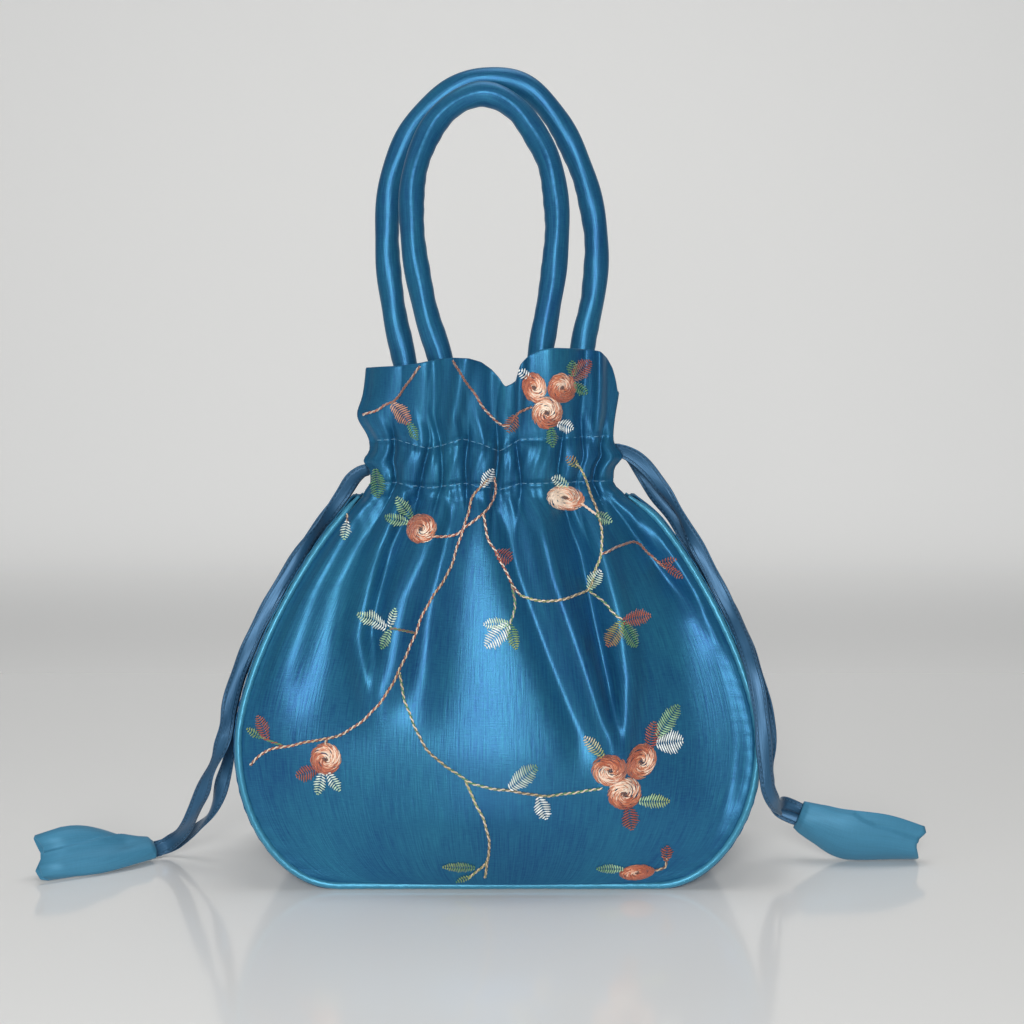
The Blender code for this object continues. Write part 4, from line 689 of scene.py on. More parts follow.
def panel_depth(u, z, side):
    """Distance of a panel's cloth from the middle plane.

    The edge's depth, a belly across the panel, the gathered lumps, the folds, the puff of the casing
    between its stitch rows, and fine puckers at rows and seams.
    """
    ripple_height = sizes().pucker
    u, z = np.broadcast_arrays(u, z)
    x = lean(z) + (2 * u - 1) * half_width(z)
    across = 1 - np.abs(2 * u - 1) ** BULGE_POWER
    belly = FRONT_BELLY * np.sin(np.clip(z / BELLY_HEIGHT, 0, 1) * math.pi / 2)
    belly = belly + (NECK_BULGE - FRONT_BELLY) * smooth(BELLY_HEIGHT, CASING_LOW, z)
    belly = belly + (HEM_BULGE - NECK_BULGE) * smooth(CASING_HIGH, HEM_HEIGHT, z)
    casing = np.clip((z - LOWER_ROW) / (UPPER_ROW - LOWER_ROW), 0, 1)
    puff = np.sin(math.pi * casing) ** 0.75
    lumps = gathers(x, z, side) * (0.9 + 0.45 * puff)
    drawn = smooth(0.140, 0.160, z) * (1 - smooth(0.190, 0.206, z))
    fine = 0.00022 * np.sin(x * 1250 + 3 * np.sin(z * 160)) * drawn
    drift = row_drift(x, side)
    low, high = z - LOWER_ROW - 0.5 * drift, z - UPPER_ROW - drift
    rows = np.exp(-(low / 0.0012) ** 2) + np.exp(-(high / 0.0012) ** 2)
    near_rows = np.exp(-np.abs(low) / 0.0050) + np.exp(-np.abs(high) / 0.0050)
    ripple = np.sin(x * 2300 + 3 * np.sin(x * 310)) + 0.8 * np.sin(x * 1270 + 2 * np.sin(x * 170) + 60 * z)
    pucker = ripple_height * 0.55 * near_rows * ripple * (0.6 + 0.4 * np.sin(x * 210 + 1))
    edge = np.minimum(u, 1 - u) * 2 * half_width(z)
    below = smooth(SEAM_TOP, SEAM_TOP - 0.02, z)
    seam = 0.6 * ripple_height * np.sin(TAU * z / 0.0062 + 3 * np.sin(z * 90)) * np.exp(-edge / 0.005) * below
    slack = 0.0006 * np.sin(31 * x + 17 * z + 1) * np.sin(43 * z + 0.5) * smooth(0, 0.05, z) * below
    soft = folds(x, z, FRONT_FOLDS if side < 0 else BACK_FOLDS)
    if side < 0:
        lap = smooth(0.0070, 0.0087, x) * (1 - smooth(0.018, 0.045, x))
        soft = soft + 0.0026 * lap * smooth(CASING_HIGH + 0.002, 0.202, z)
    near_edge = smooth(0, SEAM_FADE_SHARE, u) * smooth(0, SEAM_FADE_SHARE, 1 - u)
    relief = (lumps + fine + 0.0018 * puff - 0.0012 * rows + pucker + soft + slack) * near_edge + seam
    return side_depth(z) + CLOTH / 2 + belly * across + relief


def hem_height(u, side):
    """Height of the ruffle's hem: a smoothed line through chosen places, a little lower and wavier behind."""
    fine = np.linspace(-0.062, 0.058, 481)
    height = np.interp(fine, *np.array(FRONT_HEM).T)
    kernel = np.exp(-np.linspace(-2, 2, 7) ** 2)
    padded = np.pad(height, 3, mode="edge")
    height = np.convolve(padded, kernel / kernel.sum(), mode="valid")
    height = np.interp(lean(HEM_HEIGHT) + (2 * u - 1) * HEM_WIDTH / 2, fine, height)
    return height - (0.0012 + 0.0008 * np.sin(TAU * 3.3 * u)) * (side > 0)


def edge_shift(u, z):
    """Sideways sag of the front's loose edges: the ruffle's left flap, and a nub of cloth at each casing end."""
    flap = 0.0017 * smooth(0.205, HEM_HEIGHT, z) - 0.0050 * np.exp(-((z - 0.1960) / 0.0075) ** 2)
    left_nub = 0.0030 * np.exp(-((z - 0.1765) / 0.0030) ** 2)
    right_nub = 0.0042 * np.exp(-((z - 0.1785) / 0.0036) ** 2)
    return flap * (1 - u) ** 4 - left_nub * (1 - u) ** 12 + right_nub * u ** 12


def stack(*parts):
    """Arrays of matching shapes as one array of points, or of flat places on a cloth."""
    return np.stack(np.broadcast_arrays(*parts), axis=-1)


def panel_point(u, z, offset, side):
    """Point of a panel's cloth, offset inwards along the depth. side is -1 for the front, 1 for the back."""
    x = lean(z) + (2 * u - 1) * half_width(z) + (edge_shift(u, z) if side < 0 else 0)
    return stack(x, side * (panel_depth(u, z, side) - offset), z)


def on_front(places, lift):
    """Points that stand a little in front of the front panel's cloth, at places across and up it."""
    x, z = places[..., 0], places[..., 1]
    shift = 0
    for _ in range(PLACE_ROUNDS):
        u = np.clip(((x - shift - lean(z)) / half_width(z) + 1) / 2, 0, 1)
        shift = edge_shift(u, z)
    return stack(x, -(panel_depth(u, z, -1) + lift), z)


def build_mesh(name, points, faces, corners, material):
    """Mesh object from arrays: points, faces of equal length, and a flat place on the cloth for each corner."""
    mesh = bpy.data.meshes.new(name)
    count, size = faces.shape
    mesh.vertices.add(len(points))
    mesh.vertices.foreach_set("co", points.astype(np.float32).ravel())
    mesh.loops.add(count * size)
    mesh.loops.foreach_set("vertex_index", faces.astype(np.int32).ravel())
    mesh.polygons.add(count)
    mesh.polygons.foreach_set("loop_start", np.arange(0, count * size, size, dtype=np.int32))
    mesh.polygons.foreach_set("use_smooth", np.ones(count, bool))
    if corners is not None:
        mesh.uv_layers.new(name="UVMap").data.foreach_set("uv", corners.astype(np.float32).ravel())
    mesh.update(calc_edges=True)
    mesh.validate()
    mesh.materials.append(material)
    piece = bpy.data.objects.new(name, mesh)
    bpy.context.scene.collection.objects.link(piece)
    return piece


def grid_piece(name, points, cloth, material, closed=False, flip=False):
    """Surface over a grid of rows and columns. A closed one joins its last column to its first.

    cloth holds each corner's flat place on the cloth, with one column more than points where closed.
    """
    rows, columns = points.shape[:2]
    row, column = (index.ravel() for index in np.meshgrid(
        np.arange(rows - 1), np.arange(columns if closed else columns - 1), indexing="ij"))
    after = (column + 1) % columns
    faces = np.stack([row * columns + column, row * columns + after,
                      (row + 1) * columns + after, (row + 1) * columns + column], axis=1)
    width = cloth.shape[1]
    places = np.stack([row * width + column, row * width + column + 1,
                       (row + 1) * width + column + 1, (row + 1) * width + column], axis=1)
    if flip:
        faces, places = faces[:, ::-1], places[:, ::-1]
    return build_mesh(name, points.reshape(-1, 3), faces, cloth.reshape(-1, 2)[places], material)


def thicken(piece, thickness):
    """Give a cloth its thickness on its inner side, with its rims closed."""
    shell = piece.modifiers.new("cloth", "SOLIDIFY")
    shell.thickness = thickness
    shell.offset = -1
    shell.use_rim = True


def weld(piece, name):
    """Join a piece's points where they lie on each other."""
    piece.modifiers.new(name, "WELD").merge_threshold = WELD_DISTANCE


def run_along(points):
    """Distance of each point from the first one, along the line through all of them."""
    return np.concatenate([[0], np.cumsum(np.linalg.norm(np.diff(points, axis=0), axis=1))])


def smooth_route(route, steps):
    """Evenly spaced points on a Catmull-Rom curve through a route's points, and its length."""
    points = np.array(route, float)
    padded = np.concatenate([[2 * points[0] - points[1]], points, [2 * points[-1] - points[-2]]])
    t = np.linspace(0, 1, 16, endpoint=False)[None, :, None]
    p0, p1, p2, p3 = (padded[k:len(points) - 1 + k, None, :] for k in range(4))
    fine = 0.5 * (2 * p1 + (p2 - p0) * t + (2 * p0 - 5 * p1 + 4 * p2 - p3) * t ** 2
                  + (3 * p1 - p0 - 3 * p2 + p3) * t ** 3)
    fine = np.concatenate([fine.reshape(-1, points.shape[1]), points[-1:]])
    run = run_along(fine)
    even = np.linspace(0, run[-1], steps)
    return np.stack([np.interp(even, run, column) for column in fine.T], axis=1), run[-1]


def unit(vectors):
    return vectors / np.maximum(np.linalg.norm(vectors, axis=-1, keepdims=True), 1e-12)


def axes_along(path, beside):
    """Directions at each point of a path: along it, square to it and to beside, and square to both."""
    tangent = unit(np.gradient(path, axis=-2))
    across = unit(np.cross(tangent, beside))
    return tangent, across, np.cross(across, tangent)


def angles(sides):
    """Even angles round a ring."""
    return np.arange(sides) * TAU / sides


def with_ends(path, rings):
    """Rings about a path, with one more at each end that is drawn to a point."""
    ends = np.repeat(path[[0, -1], None], rings.shape[1], 1)
    return np.concatenate([ends[:1], rings, ends[1:]])


def tube_piece(name, path, across, deep, wide, thick, cloth_round, material):
    """Closed tube: an oval ring about each point of a path, wide along across and thick along deep.

    wide and thick hold a half-size for each station and angle. The end rings are drawn to a point.
    """
    sides = wide.shape[1]
    angle = angles(sides)
    ring = (across[:, None, :] * (wide * np.cos(angle))[..., None]
            + deep[:, None, :] * (thick * np.sin(angle))[..., None])
    points = with_ends(path, path[:, None, :] + ring)
    run = run_along(path)
    cloth = stack(np.linspace(0, cloth_round, sides + 1), np.concatenate([[0], run, run[-1:]])[:, None])
    piece = grid_piece(name, points, cloth, material, closed=True, flip=True)
    weld(piece, "ends")
    return piece


def stitches_piece(name, runs, lift_side, radius, tone, material):
    """Many short threads in one mesh: each run of points gets a ring of its own radius at every point.

    runs is threads by points by 3, radius threads by points, and tone one colour for each thread and point.
    """
    count, steps = runs.shape[:2]
    _, across, deep = axes_along(runs, np.array(lift_side, float))
    angle = angles(THREAD_SIDES)[:, None]
    ring = across[:, :, None, :] * np.cos(angle) + deep[:, :, None, :] * np.sin(angle)
    points = runs[:, :, None, :] + ring * radius[:, :, None, None]
    thread, step, side = (index.ravel() for index in np.meshgrid(
        np.arange(count), np.arange(steps - 1), np.arange(THREAD_SIDES), indexing="ij"))
    after = (side + 1) % THREAD_SIDES
    base = (thread * steps + step) * THREAD_SIDES
    faces = np.stack([base + side, base + THREAD_SIDES + side, base + THREAD_SIDES + after, base + after], axis=1)
    piece = build_mesh(name, points.reshape(-1, 3), faces, None, material)
    tones = np.repeat(tone[:, :, None, :], THREAD_SIDES, axis=2).reshape(-1, 3)
    tones = np.concatenate([tones, np.ones((len(tones), 1))], axis=1)
    attribute = piece.data.attributes.new("thread_colour", "FLOAT_COLOR", "POINT")
    attribute.data.foreach_set("color", tones.astype(np.float32).ravel())
    return piece


def settle(piece, slot, *nodes):
    """Let a finished piece ride on the bag and stand for its solids. Its slot is not used."""
    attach(piece, "root")
    if nodes:
        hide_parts(*nodes)
    return piece


def panel_grid(side):
    """Grid of a panel: up the body, through casing and ruffle, over the hem's fold and down the facing."""
    columns = 231
    u = np.linspace(0, 1, columns)[None, :]
    level = np.concatenate([np.linspace(1, 2, 46)[:-1], np.linspace(2, 3, 62)])
    body = outline(level, SEAM_INSET)[1][:, None] + 0 * u
    casing = np.linspace(SEAM_TOP, CASING_HIGH, 26)[1:, None] + 0 * u
    hem = hem_height(u, side)
    ruffle = CASING_HIGH + np.linspace(0, 1, 26)[1:, None] * (hem - CASING_HIGH)
    fold = np.linspace(0, math.pi, 6)[1:-1, None]
    over = hem + FOLD_RADIUS * np.sin(fold)
    over_offset = FOLD_RADIUS * (1 - np.cos(fold)) + 0 * u
    share = np.linspace(0, 1, 22)[:, None]
    facing = hem + share * (FACING_END - hem)
    facing_offset = 2 * FOLD_RADIUS + (FACING_OFFSET - 2 * FOLD_RADIUS) * smooth(0.05, 0.45, share) + 0 * u
    z = np.concatenate([body, casing, ruffle, over, facing])
    outer = len(body) + len(casing) + len(ruffle)
    offset = np.concatenate([np.zeros((outer, columns)), over_offset, facing_offset])
    points = panel_point(np.repeat(u, len(z), 0), z, offset, side)
    rise = np.abs(np.diff(z, axis=0, prepend=z[:1]))
    cloth = np.stack([np.repeat((u - 0.5) * BODY_WIDTH, len(z), 0), np.cumsum(rise, axis=0)], axis=-1)
    return points, cloth


def seam_levels(base, corner, rise):
    """Levels of the whole seam, from the left shoulder round the base to the right one, and each one's side."""
    half = np.concatenate([np.linspace(0, 1, base)[:-1], np.linspace(1, 2, corner)[:-1], np.linspace(2, 3, rise)])
    return np.concatenate([half[::-1], half[1:]]), np.concatenate([-np.ones(len(half)), np.ones(len(half) - 1)])


def bag_satin():
    return once(satin_material, "bag_satin", colours().satin, colours().satin_light,
                SATIN_METALLIC, SATIN_ROUGHNESS)


def lay_floor():
    """Floor with a sweep behind it: glossy close to the bag, and paler where the camera sees its far side. In glossy
    rays the whole floor glows, which paints a brighter reflection of it on the satin.
    """
    front, back, bend, top, reach = -1.6, 1.1, 0.5, 2.2, 2.4
    turn = np.linspace(0, math.pi / 2, 17)
    y = np.concatenate([[front], back + bend * np.sin(turn), [back + bend]])
    z = np.concatenate([[0], bend * (1 - np.cos(turn)), [top]])
    points = stack(np.linspace(-reach, reach, 2), y[:, None], z[:, None])
    made = Finish("table_and_sweep", {"Specular IOR Level": 0.45, "Emission Strength": 0.30})
    place = made.node("SeparateXYZ", {}, {0: made.node("TexCoord", out="Object")}, out=1)
    matt = made.ramp(abs(place + 0.05), 0.30, 0.95, 0.12, 0.9)
    seen = made.node("LightPath", out="Is Camera Ray")
    reflection_glow = made.node("LightPath", out="Is Glossy Ray")
    # The floor also glows in glossy rays: a painted reflection that brightens the satin where it faces the floor
    glow = made.mix(seen * made.ramp(place, 0.3, 1.4) + reflection_glow, (0, 0, 0), (1.0, 1.0, 0.99))
    made.put(made.surface.inputs["Emission Color"], glow)
    made.finish((0.76, 0.755, 0.74), matt, None, 0, 0)
    floor = grid_piece("table_floor", points, points[..., :2], made.material)


def hang_lamp(name, place, size, power, tint):
    """Soft rectangular lamp at a place, aimed at the bag."""
    lamp = bpy.data.lights.new(name, "AREA")
    lamp.shape = "RECTANGLE"
    lamp.size = size
    lamp.size_y = LAMP_TALLNESS * size
    lamp.energy = power
    lamp.color = tint
    held = bpy.data.objects.new(name, lamp)
    held.location = place
    aim = np.array(LAMP_AIM) - np.array(place)
    held.rotation_euler = (math.atan2(math.hypot(aim[0], aim[1]), -aim[2]), 0, math.atan2(-aim[0], aim[1]))
    bpy.context.scene.collection.objects.link(held)


class BAG_OT_stage(bpy.types.Operator):
    """Lay a pale floor with a sweep behind it, soft lamps and the camera"""
    bl_idname = "bag.stage"
    bl_label = "Stage"

    def execute(self, context):
        lay_floor()
        for lamp in LAMPS:
            hang_lamp(*lamp)
        world = bpy.data.worlds.new("studio")
        context.scene.world = world
        world.use_nodes = True
        sky = world.node_tree.nodes["Background"]
        sky.inputs["Color"].default_value = (*SKY, 1)
        sky.inputs["Strength"].default_value = SKY_STRENGTH
        lens = bpy.data.cameras.new("camera")
        lens.sensor_width = SENSOR
        lens.lens = SENSOR * FOCAL / PICTURE
        lens.shift_y = (HORIZON - PICTURE / 2) / PICTURE
        viewer = bpy.data.objects.new("camera", lens)
        viewer.location = CAMERA_PLACE
        viewer.rotation_euler = (math.pi / 2, 0, 0)
        context.scene.collection.objects.link(viewer)
        context.scene.camera = viewer
        context.scene.view_settings.view_transform = "Standard"
        return {"FINISHED"}


def sew_tab(name, node, stations, seed, overlap, end):
    """Tab: a flattened sleeve through its stations, with one edge lapped over the other and an open end."""
    table = np.array([(*centre, wide, thick, math.radians(tilt)) for centre, wide, thick, tilt in stations])
    rows = smooth_route(table, 44)[0]
    centre, half_wide, half_thick, tilt = rows[:, :3], rows[:, 3:4], rows[:, 4:5], rows[:, 5:6]
    heading, level, upright = axes_along(centre, (0, 0, 1))
    wide = level * np.cos(tilt) + upright * np.sin(tilt)
    thick = np.cross(wide, heading)
    sides = 120
    angle = angles(sides)
    t = np.linspace(0, 1, len(rows))[:, None]
    drawn = 1 + 0.05 * np.cos(5 * angle + seed) * (1 - smooth(0, 0.35, t))
    crease = 1 + 0.05 * np.cos(3 * angle + 4 * t + seed) * smooth(0.2, 0.8, t)
    lens = np.sin(angle) * np.abs(np.sin(angle)) ** 0.6
    dent = 1 - 0.5 * np.exp(-((angle - math.pi / 2) / 0.5) ** 2) * smooth(0.1, 0.5, t)
    ring = (wide[:, None, :] * (1.04 * half_wide * drawn * np.cos(angle))[..., None]
            + thick[:, None, :] * (half_thick * drawn * crease * dent * lens)[..., None])
    front = -np.sign(thick[:, 1:2])
    edge = np.interp(t, *np.array(overlap).T)
    lap = (1 - smooth(-0.03, 0.03, np.cos(angle) - edge)) * smooth(0, 0.3, front * np.sin(angle))
    lap = LAP_HEIGHT * lap * smooth(0, 0.08, t)
    ring = ring + (thick * front)[:, None, :] * lap[..., None]
    lip = np.interp(np.cos(angle), *np.array(end).T) * smooth(0.80, 1, t)
    points = centre[:, None, :] + ring + heading[:, None, :] * lip[..., None]
    points[..., 2] = np.maximum(points[..., 2], TAB_REST)
    cloth = stack(np.linspace(0, TAB_ROUND, sides + 1), np.linspace(0, TAB_LENGTH, len(rows))[:, None])
    material = once(satin_material, "tab_cloth", colours().tab, paler(colours().tab, 1.5), 0.15, 0.44)
    tab = grid_piece(name, points, cloth, material, closed=True, flip=True)
    thicken(tab, sizes().cloth)
    settle(tab, "tab_satin", node)


class BAG_OT_tabs(bpy.types.Operator):
    """Make the satin tabs on the drawstrings' ends"""
    bl_idname = "bag.tabs"
    bl_label = "Drawstring Tabs"

    def execute(self, context):
        sew_tab("left_tab_cloth", "left_drawstring_tab", LEFT_TAB, 0.4, LEFT_OVERLAP, LEFT_END)
        sew_tab("right_tab_cloth", "right_drawstring_tab", RIGHT_TAB, 1.7, RIGHT_OVERLAP, RIGHT_END)
        return {"FINISHED"}


def lay_strand(name, node, route, tab, twist, material):
    """Free end of a drawstring: a flat ribbon along its route, turned about it and slightly cupped."""
    wide, thick = sizes().ribbon_width / 2, sizes().ribbon_thickness / 2
    path, length = smooth_route(route, 170)
    outward = math.copysign(1, route[0][0])
    place = np.linspace(0, 1, len(path))
    beside = smooth(0.10, 0.25, place) * (1 - smooth(0.72, 0.85, place))
    path[:, 0] += outward * SIDE_ROOM * beside
    tangent = unit(np.gradient(path, axis=0))
    facing = np.array((0, -1, 0.35)) + 0 * tangent
    facing = unit(facing - tangent * np.sum(facing * tangent, axis=1, keepdims=True))
    across = np.cross(tangent, facing)
    turn = np.radians(np.interp(place, *np.array(twist).T))
    kernel = np.hanning(15)
    turn = np.convolve(np.pad(turn, 7, mode="edge"), kernel / kernel.sum(), mode="valid")[:, None]
    width_way = across * np.cos(turn) + facing * np.sin(turn)
    face_way = facing * np.cos(turn) - across * np.sin(turn)
    sides = 16
    angle = angles(sides)
    cup = CUP_DEPTH * np.sin(place * 23 + outward)[:, None] * np.cos(angle)[None, :] ** 2
    half = wide * (1 - 0.10 * np.cos(place * 31)[:, None] ** 2)
    depth = thick * np.sign(np.sin(angle)) * np.abs(np.sin(angle)) ** 0.6 + cup
    rings = (path[:, None, :] + width_way[:, None, :] * (half * np.cos(angle))[..., None]
             + face_way[:, None, :] * depth[..., None])
    rings[..., 2] = np.maximum(rings[..., 2], RIBBON_REST)
    run = np.concatenate([[0], place, [1]]) * length
    cloth = stack(wide * np.cos(np.arange(sides + 1) * TAU / sides), run[:, None])
    strand = grid_piece(name, with_ends(path, rings), cloth, material, closed=True, flip=True)
    weld(strand, "ends")
    settle(strand, "ribbon", node)
    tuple(route[0])


def run_casing(name, node, height, open_side, material):
    """Run of a drawstring inside both casings, from the front's open side round the other and back."""
    wide = sizes().ribbon_width / 2
    u = np.linspace(0, 1, 150)
    level = np.linspace(-wide, wide, 5)[:, None]
    front, back = (panel_point(u[None, :], height + level, STRING_OFFSET + RIBBON_ROOM, side)
                   for side in (-1, 1))
    for half in (front, back):
        half[:, 0 if open_side > 0 else -1, 0] -= open_side * END_DRAW
    loop = np.concatenate([front[:, ::-1], back] if open_side > 0 else [front, back[:, ::-1]], axis=1)
    cloth = stack(level, np.linspace(0, CASING_RUN, loop.shape[1]))
    inner = grid_piece(name, loop, cloth, material, flip=open_side > 0)
    thicken(inner, THIN_CLOTH)
    settle(inner, "ribbon", node)


class BAG_OT_drawstrings(bpy.types.Operator):
    """Lay the folded satin ribbons that hang from the casing and run inside it"""
    bl_idname = "bag.drawstrings"
    bl_label = "Drawstrings"

    def execute(self, context):
        material = ribbon_material("ribbon_cloth", tuple(colours().ribbon), sizes().ribbon_width / 2)
        for strand in STRANDS:
            lay_strand(*strand, material)
        run_casing("right_casing_ribbon", "right_drawstring_casing_run", RIGHT_STRING_HEIGHT, 1, material)
        run_casing("left_casing_ribbon", "left_drawstring_casing_run", LEFT_STRING_HEIGHT, -1, material)
        return {"FINISHED"}


class BAG_OT_panels(bpy.types.Operator):
    """Make the front and back panels with their casings, ruffled hems and facings"""
    bl_idname = "bag.panels"
    bl_label = "Panels"

    def execute(self, context):
        for name, node, side in (("front_panel_cloth", "front_panel", -1), ("back_panel_cloth", "back_panel", 1)):
            points, cloth = panel_grid(side)
            panel = grid_piece(name, points, cloth, bag_satin(), flip=side > 0)
            thicken(panel, sizes().cloth)
            settle(panel, "satin", node)
        return {"FINISHED"}


class BAG_OT_gusset(bpy.types.Operator):
    """Make the gusset strip that runs round the sides and the base"""
    bl_idname = "bag.gusset"
    bl_label = "Gusset"

    def execute(self, context):
        level, sign = (values[:, None] for values in seam_levels(9, 40, 60))
        columns = 41
        column = np.linspace(-1, 1, columns)[None, :]
        height = outline(level, 0 * level)[1]
        swell = smooth(GUSSET_SWELL_START, BELLY_HEIGHT, height) - smooth(BELLY_HEIGHT, SEAM_TOP, height)
        # Relief: a belly across the strip, less a pinch at the shoulder, gathers, crumples, and puckers by the seams
        pinch = sizes().pleat_depth / 2 * smooth(PLEAT_FADE_HEIGHT, SEAM_TOP, height)
        gathers = 0.0011 * np.cos(column * 9 + sign) * smooth(0.11, SEAM_TOP, height)
        crumple = 0.0007 * np.sin(70 * height + 3 * column + sign) * np.sin(5 * column + 30 * height)
        crumple = crumple * smooth(0.012, 0.03, height)
        edge = (1 - np.abs(column)) * side_depth(height)
        puckers = 0.4 * sizes().pucker * np.sin(TAU * height / 0.006 + 2 * sign) * np.exp(-edge / 0.004)
        belly = (GUSSET_BELLY * swell - pinch + gathers + crumple) * (1 - column ** 2)
        belly = belly + puckers * smooth(0.010, 0.02, height)
        y = column * (side_depth(height) - PIPING_RADIUS + 0.0006)
        x, z = outline(level + 0 * column, -belly)
        points = stack(lean(z) + sign * x, y, np.maximum(z, 0))
        cloth = stack(column * BASE_DEPTH / 2, run_along(points[:, columns // 2])[:, None])
        gusset = grid_piece("gusset_cloth", points, cloth, bag_satin(), flip=True)
        thicken(gusset, sizes().cloth)
        settle(gusset, "satin", "gusset")
        return {"FINISHED"}


class BAG_OT_piping(bpy.types.Operator):
    """Make the satin-covered cords in the two seams"""
    bl_idname = "bag.piping"
    bl_label = "Piping"

    def execute(self, context):
        material = once(satin_material, "piping_cloth", colours().piping, paler(colours().piping, 1.35), 0.35, 0.28)
        for name, node, side in (("front_piping_cord", "front_piping", -1), ("back_piping_cord", "back_piping", 1)):
            level, sign = seam_levels(30, 60, 90)
            x, z = outline(level, PIPING_INSET)
            route = np.stack([lean(z) + sign * x, side * side_depth(z), z], axis=-1)
            path, length = smooth_route(route, 700)
            _, across, deep = axes_along(path, (0, 1, 0))
            angle = angles(20)
            run = np.linspace(0, length, len(path))[:, None]
            # Radius: the cord's own with a spiral twist and slow lumps, drawn in at both ends
            twist = 0.000030 * np.sin(TAU * run / 0.0047 + 2.0 * angle + 2 * np.sin(run * 130))
            lumps = 0.00005 * np.sin(TAU * run / 0.031 + 2 * np.sin(run * 60)) + 0 * angle
            drawn = 1 - 0.55 * smooth(0.010, 0, np.minimum(run, length - run))
            radius = (PIPING_RADIUS + twist + lumps - 0.00010) * drawn
            cord = tube_piece(name, path, across, deep, radius, radius, TAU * PIPING_RADIUS, material)
            settle(cord, "piping_satin", node)
        return {"FINISHED"}


class BAG_OT_lining(bpy.types.Operator):
    """Hang the loose lining sack inside the panels"""
    bl_idname = "bag.lining"
    bl_label = "Lining"

    def execute(self, context):
        level = np.concatenate([np.linspace(1, 2, 24)[:-1], np.linspace(2, 3, 40)])
        halves = []
        for side in (-1, 1):
            u = (np.arange(56) + 0.5)[None, :] / 56
            width, height = outline(level, LINING_INSET)
            top = FACING_OFFSET + GAP + 0.95 * sizes().pleat_depth + 0.0008
            drop = np.interp(level, (2.0, 3.0), (LINING_EASE, top))
            low = LINING_FLOOR_EASE + (LINING_EASE - LINING_FLOOR_EASE) * (level - 1)
            drop = np.where(level < 2, low, drop)[:, None]
            z = height[:, None] + 0 * u
            x = lean(z) + (2 * u - 1) * width[:, None]
            # Depth: the panel's less an ease, with nine waves from side to side
            depth = panel_depth(u, z, side) - drop
            wave = 0.0006 * np.sin(TAU * 9 * u + 20 * z) * smooth(0.02, 0.06, z)
            half = stack(x, side * (depth - wave - 0.0006), z)
            halves.append(half if side < 0 else half[:, ::-1])
        sack = np.concatenate(halves, axis=1)
        floor_height = CLOTH + GAP
        sack[..., 2] += ((floor_height - LINING_INSET) * (1 - smooth(1.0, 2.0, level)))[:, None]
        middle = np.repeat(np.array([[[0.0, 0.0, floor_height]]]), sack.shape[1], axis=1)
        inner_floor = 0.5 * (sack[:1] + middle)
        inner_floor[..., 2] = floor_height
        sack = np.concatenate([middle, inner_floor, sack])
        cloth = stack(np.linspace(0, LINING_ROUND, sack.shape[1] + 1),
                      np.linspace(0, LINING_HEIGHT, len(sack))[:, None])
        material = once(satin_material, "lining_fabric", colours().lining, paler(colours().lining, 1.3), 0.1, 0.5)
        lining = grid_piece("lining_sack", sack, cloth, material, closed=True)
        weld(lining, "floor")
        thicken(lining, THIN_CLOTH)
        settle(lining, "lining_cloth", "lining")
        return {"FINISHED"}


class BAG_OT_handles(bpy.types.Operator):
    """Make the two padded loop handles"""
    bl_idname = "bag.handles"
    bl_label = "Handles"

    def execute(self, context):
        for name, node, route, ridge in (
                ("front_handle_tube", "front_handle", FRONT_HANDLE_ROUTE, 0.00015),
                ("back_handle_tube", "back_handle", BACK_HANDLE_ROUTE, 0.0006)):
            path, length = smooth_route(route, 240)
            run = np.linspace(0, length, len(path))[:, None]
            full = smooth(FOOT_LOW, FOOT_HIGH, np.minimum(run, length - run))
            tangent, across, deep = axes_along(path, (0, 1, 0))
            angle = angles(40)
            bend = unit(np.gradient(tangent, axis=0))
            outward = across[:, None, :] * np.cos(angle)[:, None] + deep[:, None, :] * np.sin(angle)[:, None]
            inner = np.clip(np.einsum("ij,ikj->ik", bend, outward), 0, 1)
            # Radius: flat feet that fill out, creases inside each bend, a soft wave, and a seam beside its groove
            creases = 0.00010 * inner ** 2 * np.sin(TAU * run / 0.0083 + 2.5 * np.sin(run * 55))
            soft = 0.00018 * np.sin(TAU * run / 0.031 + 2 * angle)
            facing = np.cos(angle + math.pi / 2 if node == "front_handle" else angle - math.pi / 2 + 0.45)
            seam = ridge * np.exp(-((1 - facing) / 0.03)) * (1 + 0.35 * np.sin(TAU * run / 0.0045))
            groove = -0.8 * ridge * np.exp(-((0.93 - facing) / 0.03) ** 2)
            relief = (creases + soft + seam + groove) * full
            width = sizes().handle_width
            wide = FOOT_HALF_WIDTH + (width / 2 - FOOT_HALF_WIDTH) * full + relief
            thick = FOOT_HALF_THICKNESS + (HANDLE_HALF_THICKNESS - FOOT_HALF_THICKNESS) * full + relief
            handle = tube_piece(name, path, across, deep, wide, thick, math.pi * width, bag_satin())
            settle(handle, "satin", node)
        return {"FINISHED"}


